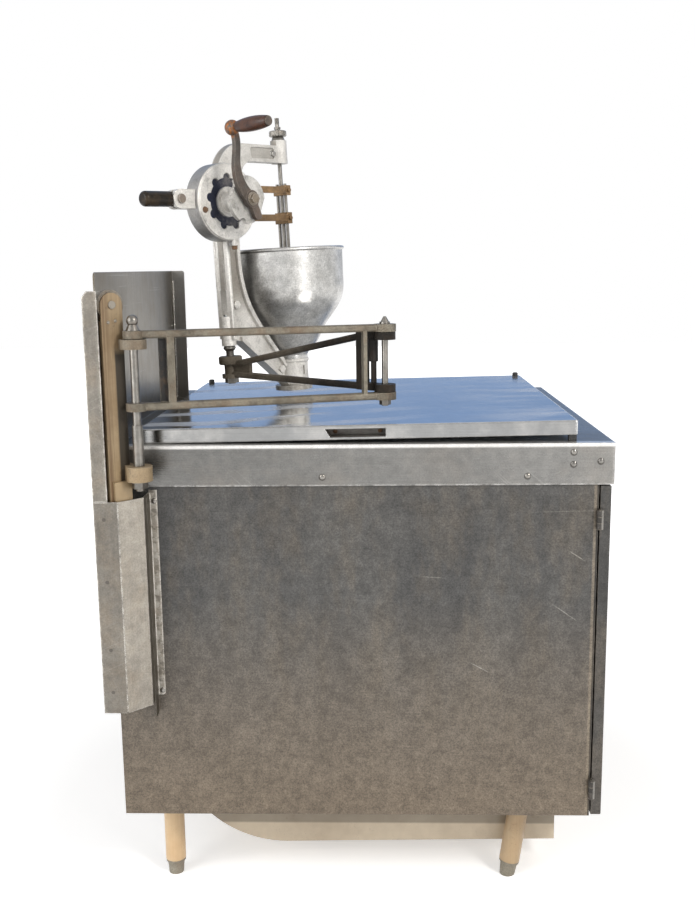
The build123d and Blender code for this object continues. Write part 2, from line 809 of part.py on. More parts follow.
def lid_pull_slot(y0, y1, grow):
    """Finger opening in the near flange, slanted at its rear end."""
    half, slant = lid_pull_width / 2, 9.0
    x0, x1 = lid_pull_x - half - grow, lid_pull_x + half + grow
    z0, z1 = lid_pull_low - grow, lid_pull_low + lid_pull_height + grow
    return plate_xz([(x0 + slant, z0), (x1, z0), (x1, z1), (x0, z1)], y0, y1)


def lid():
    """Sheet cover with turned-down flanges and a finger opening in the near one."""
    body = block(0, lid_length, 0, lid_width, 0, lid_height)
    body = fillet(body.edges().filter_by(Axis.Z), 4)
    body = fillet(body.edges().group_by(Axis.Z)[-1], 2.5)
    body -= block(lid_sheet, lid_length - lid_sheet, lid_sheet, lid_width - lid_sheet,
                  -1, lid_height - lid_sheet)
    return lid_at * (body - lid_pull_slot(-1, lid_sheet + 1, 0.0))


def lid_pull():
    """Folded pocket behind the finger opening."""
    deep, wall = 26.0, 1.2
    pocket = lid_pull_slot(lid_sheet, lid_sheet + deep, wall)
    return lid_at * (pocket - lid_pull_slot(lid_sheet - 1, lid_sheet + deep - wall, 0.0))


def lid_feet():
    """Stand-offs under the front corners that hold the lid's front edge up off the deck."""
    size = bumper_size
    out = []
    for y in (2.0, lid_width - 2.0 - size):
        x = lid_length - size - 2
        drop = x * tan(radians(lid_tilt))
        out.append(lid_at * block(x, x + size, y, y + size, -drop, 0))
    return group(out)


def lid_pegs():
    """Rubber stacking pegs on the far corners of the lid."""
    out = []
    for x in (bumper_size, lid_length - bumper_size):
        peg = upright(x, lid_width - bumper_size, lid_height, lid_height + 9, bumper_size / 2)
        out.append(lid_at * fillet(peg.edges().group_by(Axis.Z)[-1], 3))
    return group(out)


def upper_guard():
    """Tall sheet guard in front of the cable, with its outer top corner cut off."""
    y0 = near_y - guard_reach
    x1 = rear_x + upper_guard_width
    low, high = upper_guard_bottom, upper_guard_top
    body = block(rear_x, x1, y0, near_y, low, high)
    body -= block(rear_x + guard_sheet, x1 + 1, y0 + guard_sheet, near_y + 1, low - 1, high + 1)
    body += block(x1 - guard_hem, x1, y0, y0 + guard_hem_deep, low, high)
    body += block(rear_x, rear_x + guard_flange, near_y - guard_sheet, near_y, apron_bottom + 4, counter_height - 6)
    corner = [(rear_x - 1, high - 12), (rear_x + 9, high + 1), (rear_x - 1, high + 1)]
    cut = plate_xz(corner, y0 - 1, near_y + 1)
    return body - cut


def guard_outline(inset):
    """Plan of the lower guard: rear return, front face, 45-degree face and inner return."""
    x0, y0 = rear_x + inset, near_y - guard_reach + inset
    bend = inset * tan(radians(22.5))
    x1, x2 = rear_x + lower_guard_front - bend, guard_inner_x - inset
    y1 = near_y - guard_reach + guard_chamfer + bend
    y2 = panel_near + (1 if inset else 0)
    return [(x0, y2), (x0, y0), (x1, y0), (x2, y1), (x2, y2)]


def lower_guard():
    """Folded sheet cover of the counterweight, open at both ends, with a flange on the side panel."""
    high = lower_guard_top - lower_guard_bottom
    outer = extrude(make_face(Polyline(*guard_outline(0.0), close=True)), high)
    inner = extrude(make_face(Polyline(*guard_outline(guard_sheet), close=True)), high + 2)
    body = Pos(0, 0, lower_guard_bottom) * outer - Pos(0, 0, lower_guard_bottom - 1) * inner
    flange = block(rear_x, panel_rear + 18, panel_near - guard_sheet, panel_near,
                   lower_guard_bottom, lower_guard_top)
    return body + flange


def guard_angle():
    """Angle strip that holds the guard's inner edge to the side panel, with rounded lower end."""
    x0 = guard_inner_x
    body = block(x0, x0 + strip_width, panel_near - guard_sheet, panel_near,
                 strip_bottom + 35, lower_guard_top + 5)
    body = fillet(body.edges().filter_by(Axis.Y).group_by(Axis.Z)[0].sort_by(Axis.X)[-1:], 6)
    return body + block(x0, x0 + guard_sheet, panel_near - 26, panel_near, strip_bottom, lower_guard_top - 3)


def guard_screws():
    """Pan-head screws in the angle strip."""
    out = []
    x = guard_inner_x + strip_width * 0.6
    for z in (strip_bottom + 44, lower_guard_top - 16):
        out.append(Pos(x, panel_near - guard_sheet, z) * Rot(90, 0, 0) * standing_cone(4.2, 3.0, 2.2))
    return group(out)


def in_mast(u0, u1, v0, v1, z0, z1):
    """Block in the mast's own turned plan: u across the post's broad face, v from back (+) to front (-)."""
    return mast_at * block(u0, u1, v0, v1, z0, z1)


def post_section(grow, z0, z1):
    """The post's plan outline grown on all sides, as a solid between two heights."""
    half_u, half_v = post_width / 2 + grow, post_thick / 2 + grow
    return in_mast(-half_u, half_u, -half_v, half_v, z0, z1)


def mast_axle(v0, v1, radius):
    """Round bar across the mast at the sheave's height."""
    return mast_at * along_y(0, sheave_z, v0, v1, radius)


def lift_post():
    """Flat mast post with a rounded, slotted head for the sheave."""
    body = post_section(0.0, post_bottom, sheave_z)
    body += mast_axle(-post_thick / 2, post_thick / 2, post_width / 2)
    half = sheave_slot / 2
    body -= in_mast(-post_width, post_width, -half, half, sheave_z - rim_radius - 1.5, sheave_z + post_width)
    return body - mast_axle(-post_thick, post_thick, sheave_pin_size / 2)


def sheave():
    """Grooved cable wheel in the post's head."""
    body = mast_axle(-sheave_width / 2, sheave_width / 2, rim_radius)
    half = cable_size / 2 + run_fit
    groove = mast_at * Pos(0, 0, sheave_z) * Rot(90, 0, 0) * Torus(pitch_radius, half)
    groove += mast_axle(-half, half, rim_radius + 1) - mast_axle(-half, half, pitch_radius)
    return body - groove - mast_axle(-sheave_width, sheave_width, sheave_pin_size / 2 + run_fit)


def sheave_pin():
    """Riveted axle of the sheave."""
    half = post_thick / 2
    body = mast_axle(-half - 2.5, half + 2.5, sheave_pin_size / 2)
    for side in (-1, 1):
        v = sorted((side * half, side * (half + 2.5)))
        body += mast_axle(v[0], v[1], sheave_pin_size / 2 + 2.0)
    return body


def post_rivets():
    """Round-head rivets on the post's broad face, below the head."""
    out = []
    for u, z in ((-8, sheave_z - 30), (6, sheave_z - 28)):
        out.append(mast_at * Pos(u, -post_thick / 2, z) * Rot(90, 0, 0) * standing_cone(3.2, 1.8, 2.4))
    return group(out)


def stop_plate():
    """Rounded plate on the post that the lift carriage rests on."""
    top = lower_bracket_top - lower_bracket_thick - fit_gap
    v1 = -post_thick / 2
    body = block(-15, 20, v1 - 6, v1, lower_guard_top - 6, top)
    body = fillet(body.edges().filter_by(Axis.Y).group_by(Axis.Z)[0], 10)
    return mast_at * body


def post_brackets():
    """Blocks that hold the post to the side panel and to the apron."""
    x0, x1, y0 = mast_x - 7, mast_x + 19, mast_y + 12
    low = block(x0, x1, y0, panel_near, post_bottom + 8, post_bottom + 38)
    high = block(x0, x1, y0, near_y, apron_bottom + 1, apron_bottom + 18)
    post = post_section(0.0, post_bottom, counter_height)
    return group([low - post, high - post])


def lift_cable():
    """Cable from the carriage up over the sheave and down to the counterweight."""
    r = cable_size / 2
    over = Pos(0, 0, sheave_z) * Rot(90, 0, 0) * Torus(pitch_radius, r)
    over &= block(-60, 60, -20, 20, sheave_z, sheave_z + 60)
    right = upright(pitch_radius, 0, upper_bracket_top, sheave_z, r)
    left = upright(-pitch_radius, 0, weight_top, sheave_z, r)
    return mast_at * (over + right + left)


def counterweight():
    """Cast weight that balances the depositor, guided by the walls of the lower guard."""
    y0 = near_y - guard_reach + guard_sheet + 3.5
    x0, x1 = rear_x + 5, rear_x + lower_guard_front - 1
    body = block(x0, x1, y0, panel_near - 9, weight_top - weight_length, weight_top)
    return fillet(body.edges().filter_by(Axis.Z), 4)


def carriage():
    """Lift carriage: two shoes round the post's inner edge, a bar between them, two eyes for the rod."""
    inside = post_width / 2 + slide_gap
    edge = inside + shoe_wall
    half = post_thick / 2 + slide_gap + shoe_wall
    low, high = lower_bracket_top - lower_bracket_thick, upper_bracket_top
    body = in_mast(inside, edge, post_thick / 2 - 2, half, low, high)
    rod_u = (rod_from_rear - mast_from_rear - rod_out + mast_out) * cos(radians(mast_turn))
    rod_v = -(rod_from_rear - mast_from_rear + rod_out - mast_out) * sin(radians(mast_turn))
    for top, thick in ((upper_bracket_top, upper_bracket_thick), (lower_bracket_top, lower_bracket_thick)):
        body += in_mast(post_width / 2 - shoe_wrap, edge, -half, half, top - thick, top)
        body += in_mast(rod_u - 15, edge, rod_v, -half + 4, top - thick, top)
        body += upright(rod_x, rod_y, top - thick, top, eye_radius)
    body -= post_section(slide_gap, low - 1, high + 1)
    return body - upright(rod_x, rod_y, low - 1, high + 1, rod_size / 2 + run_fit)


def hinge_rod():
    """Hinge rod through both eyes, with a ball finial on top."""
    r = rod_size / 2
    top = inner_arm_top + fit_gap
    body = upright(rod_x, rod_y, lower_bracket_top - lower_bracket_thick - 18, top, r)
    body += Pos(rod_x, rod_y, top) * standing_cone(12.5, 8, 10)
    return body + Pos(rod_x, rod_y, top + 17) * Sphere(10.5)


def hexagon(x, y, z0, z1, flat, bore):
    """Hexagon nut standing upright."""
    nut = Pos(x, y, z0) * extrude(RegularPolygon(flat / 2, 6, major_radius=False), z1 - z0)
    return nut - upright(x, y, z0 - 1, z1 + 1, bore)


def rod_nut():
    """Nut under the lower eye."""
    z1 = lower_bracket_top - lower_bracket_thick
    return hexagon(rod_x, rod_y, z1 - 13, z1, 25, rod_size / 2 + run_fit)


def rod_sleeve():
    """Spacer tube that stands on the lower eye round the rod."""
    return ring(rod_x, rod_y, lower_bracket_top, lower_bracket_top + 74, 9.8, rod_size / 2 + run_fit)


def flat_bar(length, wide, z0, z1, end_a, end_b):
    """Arm bar with a round lug at each end."""
    bar = block(0, length, -wide / 2, wide / 2, z0, z1)
    bar = fillet(bar.edges().filter_by(Axis.X), min(wide, z1 - z0) * bar_rounding)
    return bar + upright(0, 0, z0, z1, end_a) + upright(length, 0, z0, z1, end_b)


def inner_arm():
    """Cast swing arm: two bars, two uprights, a web behind the first and four lugs in one piece."""
    body = flat_bar(inner_arm_length, inner_bar_wide, inner_arm_low, inner_low_top, inner_lug, elbow_lug)
    body += flat_bar(inner_arm_length, inner_bar_wide, inner_high_low, inner_arm_top, inner_lug, elbow_lug)
    side = inner_bar_wide / 2 - 1
    for x, wide in ((post_from_rod, rod_post), (inner_arm_length - post_from_elbow, elbow_post)):
        body += block(x - wide / 2, x + wide / 2, -side, side, inner_low_top - 3, inner_high_low + 3)
    web_end = post_from_rod - rod_post / 2
    body += block(web_end - post_web, web_end + 1, post_web_back, side, inner_low_top - 3, inner_high_low + 3)
    body -= upright(0, 0, inner_arm_low - 1, inner_arm_top + 1, rod_size / 2 + run_fit)
    body -= upright(inner_arm_length, 0, inner_arm_low - 1, inner_arm_top + 1, elbow_pin_size / 2 + run_fit)
    return inner_at * body


def elbow_pin():
    """Elbow pin with a pointed cap above and a nut below the inner arm's lugs."""
    r = elbow_pin_size / 2
    body = upright(elbow_x, elbow_y, inner_arm_low - 12, inner_arm_top + 3, r)
    body += upright(elbow_x, elbow_y, inner_arm_top, inner_arm_top + 4, r + 4)
    body += Pos(elbow_x, elbow_y, inner_arm_top + 4) * standing_cone(r + 2, 2.5, 10)
    return body + hexagon(elbow_x, elbow_y, inner_arm_low - 10, inner_arm_low, 19, r - 1)


def elbow_lock():
    """Lock rod beside the elbow pin with a thick spring collar at its upper end."""
    x, y = 27.0, 0.0
    z0, z1 = outer_low + outer_lug_thick, outer_high - outer_lug_thick
    return outer_at * (upright(x, y, z0, z1, 5.5) + upright(x, y, z1 - 42, z1, 8.5))


def forearm_bar(z_elbow, z_spindle, deep):
    """One bar of the forearm from its post down or up to the spindle boss, with rounded edges."""
    half, end = outer_bar_wide / 2, outer_arm_length - spindle_boss + 4
    bar = plate_xz([(outer_post, z_elbow), (end, z_spindle), (end, z_spindle + deep),
                    (outer_post, z_elbow + deep)], -half, half)
    long_edges = bar.edges().filter_by(lambda edge: edge.length > outer_arm_length / 2)
    return fillet(long_edges, deep * bar_rounding)


def spindle_boss_lugs():
    """Spool-shaped boss at the forearm's end: a wide upper lug, a neck and a lower lug."""
    low, high = spindle_boss_low - spindle_seat, spindle_lug_top
    body = upright(0, 0, low, high, spindle_boss)
    top_lug = upright(0, 0, high - spindle_lug_thick, high, spindle_lug)
    body += fillet(top_lug.edges().filter_by(GeomType.CIRCLE), 4)
    body += upright(0, 0, low, low + lower_lug_thick, lower_lug)
    return spindle_at * (body - upright(0, 0, low - 10, high + 10, spindle_size / 2 + run_fit))


def outer_arm():
    """Cast forearm: a post with two elbow lugs, and two bars that run together at the spindle boss."""
    half, lug_top = outer_bar_wide / 2, outer_high - outer_lug_thick
    body = block(outer_post - 10, outer_post + 10, -half, half, outer_low, outer_high)
    for z0 in (outer_low, lug_top):
        body += block(0, outer_post, -half, half, z0, z0 + outer_lug_thick)
        body += upright(0, 0, z0, z0 + outer_lug_thick, elbow_lug - 1)
    high, low = spindle_seat - forearm_bar_deep, spindle_boss_low + 2
    body += forearm_bar(outer_high - forearm_bar_deep - 2, high, forearm_bar_deep)
    body += forearm_bar(outer_low, low, forearm_bar_deep)
    end, web_x = outer_arm_length - spindle_boss, outer_arm_length - forearm_web
    rise = (outer_high - spindle_seat) / (end - outer_post) * (end - web_x)
    body += plate_xz([(web_x, low + 6), (end, low + 6), (end, high + 6), (web_x, high + 6 + rise)], -4, 4)
    body -= upright(0, 0, outer_low - 1, outer_high + 1, elbow_pin_size / 2 + run_fit)
    bore = upright(0, 0, spindle_boss_low - spindle_seat - 10, 30, spindle_size / 2 + run_fit)
    return outer_at * body + spindle_boss_lugs() - spindle_at * bore


def spindle():
    """Threaded spindle fixed in the forearm's boss, with a nut below."""
    boss_deep = spindle_seat - spindle_boss_low
    body = upright(0, 0, -boss_deep - 12, column_foot + 62, spindle_size / 2)
    nut = Pos(0, 0, -boss_deep - 10) * extrude(RegularPolygon(13, 6, major_radius=False), 10)
    return spindle_at * (body + nut)


def spindle_nut():
    """Cone lock nut on the spindle that the depositor's column turns on."""
    waist, low, high = column_foot - nut_high / 2, column_foot - nut_high, column_foot - fit_gap
    body = Pos(0, 0, low) * standing_cone(9.5, 13.5, waist - low)
    body += Pos(0, 0, waist) * standing_cone(13.5, 11, high - waist)
    return spindle_at * (body - upright(0, 0, 0, column_foot + 10, spindle_size / 2 + run_fit))


def front_edge(shift_a, shift_z):
    """Curved hopper-side edge of the casting, from under the gooseneck down to the barrel collar."""
    return Spline(*[(a + shift_a, z + shift_z) for a, z in front_curve])


def casting_web(thick):
    """Upright web of the casting: column, gooseneck and diagonal leg in one outline."""
    low_end, high_end = front_curve[-1], front_curve[0]
    goose_low = goose_top - goose_deep
    leg_start = (foot_boss + 10, boss_top - 7)
    edges = [
        Line((column_left, boss_top), (column_left, neck_start)),
        ThreePointArc((column_left, neck_start), (12, goose_top - 24), (goose_start, goose_top)),
        Line((goose_start, goose_top), (reach, goose_top)),
        Line((reach, goose_top), (reach, goose_low)),
        Line((reach, goose_low), (throat_end, goose_low)),
        ThreePointArc((throat_end, goose_low), (throat_end - 20, goose_low - 8), high_end),
        front_edge(0, 0),
        Line(low_end, (low_end[0], leg_end_z)),
        Line((low_end[0], leg_end_z), leg_start),
        Line(leg_start, (column_left, boss_top)),
    ]
    return Pos(0, thick / 2, 0) * extrude(Plane.XZ * make_face(edges), thick)


def casting_flange():
    """Wide flange along the casting's curved front edge."""
    top, low = front_curve[0], front_curve[-1]
    shift_a, shift_z = -rib_thick, -rib_thick / 2
    back_top, back_low = (top[0] + shift_a, top[1] + shift_z), (low[0] + shift_a, low[1] + shift_z)
    edges = [front_edge(0, 0), Line(low, back_low), front_edge(shift_a, shift_z), Line(back_top, top)]
    return Pos(0, flange_wide / 2, 0) * extrude(Plane.XZ * make_face(edges), flange_wide)


def column_back():
    """Broad flat back of the column with a shallow sunk panel."""
    half, panel = column_face / 2, column_face / 2 - 7
    body = block(column_left, column_left + rib_thick, -half, half, boss_top, neck_start)
    body = fillet(body.edges().filter_by(Axis.Z), 3)
    sunk = block(column_left - 1, column_left + 1.5, -panel, panel, panel_low, neck_start - 20)
    return body - fillet(sunk.edges().filter_by(Axis.X), 6)


def leg_rib():
    """Rib along the lower edge of the diagonal leg."""
    low_a, start_a = front_curve[-1][0], foot_boss + 10
    outline = [(start_a, boss_top - 7), (low_a, leg_end_z), (low_a, leg_end_z + 10), (start_a, boss_top + 3)]
    return plate_xz(outline, -flange_wide / 2, flange_wide / 2)


def gooseneck():
    """Gooseneck with sunk sides, and the boss that guides the plunger rod."""
    half, low = goose_wide / 2, goose_top - goose_deep
    body = trimmed(casting_web(goose_wide), neck_start, goose_boss_top)
    for y0, y1 in ((-half - 1, relief_deep - half), (half - relief_deep, half + 1)):
        relief = block(throat_end, reach - goose_boss - 8, y0, y1, low + 7, goose_top - 6)
        body -= fillet(relief.edges().filter_by(Axis.Y), 6)
    return body + upright(reach, 0, low - 1, goose_boss_top, goose_boss)


def depositor_frame():
    """Cast C-frame: foot boss, ribbed column, gooseneck over the hopper, diagonal leg and barrel collar."""
    body = casting_web(web) + casting_flange() + column_back() + leg_rib() + gooseneck()
    body += upright(0, 0, column_foot, boss_top + 48, foot_boss)
    body += upright(reach, 0, collar_low, collar_top, collar_radius)
    body -= upright(reach, 0, leg_end_z - 1, collar_top + 1, barrel_radius)
    body -= upright(reach, 0, collar_top, collar_top + 30, barrel_bead + 1)
    body -= sight_slot()
    body -= drum_bar(web / 2, drum_depth, drum_radius)
    body -= upright(reach, 0, goose_top - goose_deep - 9, goose_boss_top + 1, piston_rod / 2 + run_fit)
    body -= upright(0, 0, column_foot - 1, column_foot + 65, spindle_size / 2 + run_fit)
    return depositor_at * body


def frame_bolts():
    """Hexagon bolts that hold the column foot and the barrel collar."""
    out = []
    for a, z, face in ((20, 118, web / 2), (front_curve[-1][0] - 16, -32, web / 2)):
        head = extrude(RegularPolygon(8, 6, major_radius=False), 6)
        out.append(depositor_at * Pos(a, -face, z) * Rot(90, 0, 0) * head)
    return group(out)


def drum_bar(b0, b1, radius):
    """Round bar on the crank's axis between two distances in front of the casting's middle plane."""
    return along_y(drum_a, drum_z, -b1, -b0, radius)


def cam_housing():
    """Round cam housing, open at the front, with a window for the two yokes."""
    body = drum_bar(web / 2, drum_depth - cover_thick, drum_radius)
    body -= drum_bar(web / 2 + drum_wall, drum_depth, drum_radius - drum_wall)
    body -= block(drum_a + drum_radius / 2, drum_a + drum_radius + 5, -yoke_front - 3, -yoke_back + 1.5,
                  lower_yoke_z - 6, upper_yoke_z + upper_yoke_high + stroke + 6)
    return depositor_at * body


def scalloped_ring():
    """Raised ring on the cover with a scalloped inner edge and a screw lug at the bottom."""
    b0, b1 = drum_depth - 1, drum_depth + cover_ring
    ring_outside = drum_radius - 2
    body = drum_bar(b0, b1, ring_outside) - drum_bar(b0 - 1, b1 + 1, ring_inside)
    for i in range(scallop_count):
        turn = radians(360 / scallop_count * i + 10)
        a, z = drum_a + ring_inside * cos(turn), drum_z + ring_inside * sin(turn)
        body -= along_y(a, z, -b1 - 1, -b0 + 1, scallop)
    body = fillet(body.edges().group_by(Axis.Y)[0], 1.2)
    lug_a, lug_z = drum_a + 14, drum_z - drum_radius
    return body + block(lug_a - 8, lug_a + 8, -b1, -b0 + 10, lug_z - 10, lug_z + 12)


def cam_cover():
    """Cover of the cam housing with the long bearing hub of the crank."""
    body = drum_bar(drum_depth - cover_thick, drum_depth, drum_radius)
    body = fillet(body.edges().group_by(Axis.Y)[0], 2.5)
    body += scalloped_ring()
    body += drum_bar(drum_depth, drum_depth + 5, hub_radius + 9)
    body += drum_bar(drum_depth, drum_depth + hub_length, hub_radius)
    return depositor_at * (body - drum_bar(0, drum_depth + hub_length + 1, shaft_size / 2 + run_fit))


def crank_shaft():
    """Crank shaft with the eccentric that works inside the housing."""
    body = drum_bar(yoke_front + 2, crank_front, shaft_size / 2)
    eccentric = along_y(drum_a, drum_z + 12, -(drum_depth - cover_thick - 1), -(yoke_front + 2), 30)
    return depositor_at * (body + eccentric)


def cam_disc():
    """Timing disc on the shaft in front of the hub, with two low flats on its edge."""
    b0 = drum_depth + hub_length + 1
    body = drum_bar(b0, b0 + cam_thick, cam_radius)
    for turn in (25, 200):
        flat = Pos(cam_radius + 14, 0, 0) * Box(40, 60, 70)
        body -= Pos(drum_a, -b0 - cam_thick / 2, drum_z) * Rot(0, turn, 0) * flat
    for turn in cam_notches:
        a, z = cam_radius * cos(radians(turn)), cam_radius * sin(radians(turn))
        body -= along_y(drum_a + a, drum_z + z, -b0 - cam_thick - 1, 1 - b0, cam_notch)
    return depositor_at * (body - drum_bar(b0 - 1, b0 + cam_thick + 1, shaft_size / 2))


def crank_edge(side):
    """One long edge of the bowed crank, set off from its middle line."""
    middle = Spline((0, 0), *crank_bow, (ball_a - drum_a, ball_z - drum_z))
    points = []
    for i, half in enumerate(crank_halves):
        at = i / (len(crank_halves) - 1)
        place, along = middle @ at, middle % at
        points.append((place.X - side * along.Y * half, place.Y + side * along.X * half))
    return Spline(*points)


def crank_arm():
    """Bowed crank with a round hub, a short tail and a ball end."""
    b0, b1 = crank_back, crank_front
    left, right = crank_edge(1), crank_edge(-1)
    face = make_face([left, Line(left @ 1, right @ 1), right, Line(right @ 0, left @ 0)])
    arm = Pos(drum_a, -b0 - 1, drum_z) * extrude(Plane.XZ * face, b1 - b0 - 2)
    tail_a, tail_z = drum_a + crank_tail[0], drum_z + crank_tail[1]
    body = arm + drum_bar(b0, b1, 17) + Pos(ball_a, -(b0 + b1) / 2, ball_z) * Sphere(ball_radius)
    body += along_y(tail_a, tail_z, -b1 + 1, -b0 - 1, crank_tail_half)
    slope = crank_tail_half / sqrt(crank_tail[0] ** 2 + crank_tail[1] ** 2)
    across = (crank_tail[1] * slope, -crank_tail[0] * slope)
    body += plate_xz([(drum_a + across[0], drum_z + across[1]), (tail_a + across[0], tail_z + across[1]),
                      (tail_a - across[0], tail_z - across[1]), (drum_a - across[0], drum_z - across[1])],
                     -b1 + 1, -b0 - 1)
    body -= drum_bar(b0 - 1, b1 + 1, shaft_size / 2)
    return depositor_at * (body - along_y(ball_a, ball_z, -b1 - 20, -b0 + 20, grip_pin_size / 2))


def crank_bolt():
    """Hexagon bolt and washer that hold the crank on its shaft."""
    washer = drum_bar(crank_front, crank_front + 2, 13)
    head = extrude(RegularPolygon(9, 6, major_radius=False), 8)
    return depositor_at * (washer + Pos(drum_a, -crank_front - 2, drum_z) * Rot(90, 0, 0) * head)


def grip_pin():
    """Pin through the ball that the wooden grip turns on, with a flat head outside."""
    near = crank_back + 2
    far = grip_far + 3
    pin = along_y(ball_a, ball_z, -far, -near, grip_pin_size / 2)
    return depositor_at * (pin + along_y(ball_a, ball_z, -far, -grip_far - fit_gap, 9))


def crank_grip():
    """Turned wooden grip, fullest in the middle."""
    r, mid = grip_size / 2, grip_length / 2
    edges = [Line((0, 0), (r - 4, 0)), ThreePointArc((r - 4, 0), (r, mid), (r - 4, grip_length)),
             Line((r - 4, grip_length), (0, grip_length)), Line((0, grip_length), (0, 0))]
    body = revolve(Plane.XZ * make_face(edges), Axis.Z)
    body -= upright(0, 0, -1, grip_length + 1, grip_pin_size / 2 + run_fit)
    return depositor_at * Pos(ball_a, -grip_near, ball_z) * Rot(90, 0, 0) * body


def hopper_profile(inset):
    """Outline of the hopper's wall from the rim down to the neck, moved in by part of the sheet."""
    points = [(r - inset * 0.8, z + inset * 0.5) for r, z in hopper_bowl]
    shoulder, neck = (hopper_wall - inset, hopper_straight_z), (hopper_neck - inset, neck_top + inset / 2)
    bowl = Spline(shoulder, *points, neck, tangents=((0, -1), (-0.45, -0.9)))
    return [Line((hopper_radius - inset, hopper_rim_z), shoulder), bowl, Line(neck, (neck[0], hopper_neck_z))]


def hopper():
    """Spun hopper: slightly flared upper wall, deep funnel, short neck and a rolled rim."""
    outside, inside = hopper_profile(0.0), hopper_profile(hopper_sheet)
    closing = [Line(outside[0] @ 0, inside[0] @ 0), Line(outside[-1] @ 1, inside[-1] @ 1)]
    body = revolve(Plane.XZ * make_face(outside + inside + closing), Axis.Z)
    body += Pos(0, 0, hopper_rim_z) * Torus(hopper_radius, hopper_bead)
    return depositor_at * Pos(reach, 0, 0) * body


def barrel():
    """Batter barrel under the hopper with a bead at its top, a sight slot and a thick lower flange."""
    body = upright(reach, 0, barrel_bottom, hopper_neck_z, barrel_radius)
    bead = upright(reach, 0, collar_top, hopper_neck_z, barrel_bead)
    body += fillet(bead.edges().filter_by(GeomType.CIRCLE), 3)
    body += upright(reach, 0, barrel_bottom, barrel_bottom + 10, barrel_flange)
    body -= upright(reach, 0, barrel_bottom - 1, hopper_neck_z + 1, barrel_bore)
    return depositor_at * (body - sight_slot())


def sight_slot():
    """Upright slot through the casting's collar into the barrel's wall."""
    return block(reach - 2.5, reach + 2.5, -collar_radius - 1, -barrel_bore - 2, slot_low, slot_high)


def plunger_rod():
    """Plunger rod from its threaded top through the gooseneck, yokes and hopper to the piston."""
    return depositor_at * upright(reach, 0, piston_low, rod_top, piston_rod / 2)


def piston():
    """Piston in the barrel with two holes for the cutter rods."""
    body = upright(reach, 0, piston_low, piston_low + piston_height, barrel_bore - run_fit)
    body -= upright(reach, 0, piston_low - 1, piston_low + piston_height + 1, piston_rod / 2)
    for side in (-1, 1):
        body -= upright(reach, side * rod_spread, piston_low - 1, piston_low + piston_height + 1,
                        cutter_rod_size / 2 + run_fit)
    return depositor_at * body


def yoke_bar(z, high, reach_y):
    """Bronze yoke: a bar out of the cam housing, a clamp block across the rods and its two bolt heads."""
    head, proud = 4.5, 4.0
    mid = z + high / 2
    clamp = block(reach - yoke_clamp, reach + yoke_clamp, -yoke_front, reach_y, z, z + high)
    body = fillet(clamp.edges().filter_by(Axis.Z), yoke_clamp / 4)
    body += block(yoke_start, reach, -yoke_front, -yoke_back, mid - yoke_bar_high / 2, mid + yoke_bar_high / 2)
    body += along_y(reach, mid, -yoke_front - proud, 1 - yoke_front, head)
    return body + along_x(0, mid, reach - yoke_clamp - proud, reach - yoke_clamp + 1, head)


def upper_yoke():
    """Yoke that lifts the plunger rod, with free holes for the two cutter rods."""
    low, top = upper_yoke_z - 1, upper_yoke_z + upper_yoke_high + 1
    body = yoke_bar(upper_yoke_z, upper_yoke_high, rod_spread + yoke_wall)
    body -= upright(reach, 0, low, top, piston_rod / 2)
    for side in (-1, 1):
        body -= upright(reach, side * rod_spread, low, top, cutter_rod_size / 2 + fit_gap)
    return depositor_at * body


def lower_yoke():
    """Yoke that lifts the two cutter rods, with a free hole for the plunger rod."""
    top = lower_yoke_z + lower_yoke_high
    body = yoke_bar(lower_yoke_z, lower_yoke_high, rod_spread + yoke_wall)
    body -= upright(reach, 0, lower_yoke_z - 1, top + 1, piston_rod / 2 + fit_gap)
    for side in (-1, 1):
        body -= upright(reach, side * rod_spread, lower_yoke_z - 1, top + 1, cutter_rod_size / 2)
    return depositor_at * body


def cutter_rods():
    """Two cutter rods from the upper yoke's guide holes down through the piston to the cutter disc."""
    z0, z1 = barrel_bottom + cutter_disc_thick, upper_yoke_z + upper_yoke_high + rod_proud
    rods = [upright(reach, side * rod_spread, z0, z1, cutter_rod_size / 2) for side in (-1, 1)]
    return group([depositor_at * rod for rod in rods])


def cutter_disc():
    """Cutter disc that closes the barrel's mouth."""
    top = barrel_bottom + cutter_disc_thick
    return depositor_at * upright(reach, 0, barrel_bottom, top, barrel_bore - run_fit)


def dose_nut():
    """Spool-shaped dose nut on the threaded rod: a neck on the gooseneck boss and a wide knurled flange."""
    r, grooves = dose_nut_size / 2, 18
    z0, z1 = goose_boss_top + fit_gap, goose_boss_top + dose_nut_high
    flange_low = z0 + dose_neck_high
    body = upright(reach, 0, flange_low, z1, r)
    body = fillet(body.edges().filter_by(GeomType.CIRCLE), 3)
    for i in range(grooves):
        turn = radians(360 / grooves * i)
        body -= upright(reach + (r + 1.6) * cos(turn), (r + 1.6) * sin(turn), z0, z1 + 1, 2.6)
    body += Pos(reach, 0, z0) * standing_cone(dose_neck + 3, dose_neck, dose_neck_high)
    return depositor_at * (body - upright(reach, 0, z0 - 1, z1 + 1, piston_rod / 2 + run_fit))


def top_nut():
    """Lock nut near the top of the plunger rod."""
    z0 = goose_boss_top + dose_nut_high + lock_nut_rise
    return depositor_at * hexagon(reach, 0, z0, z0 + lock_nut_high, lock_nut_flat, piston_rod / 2)


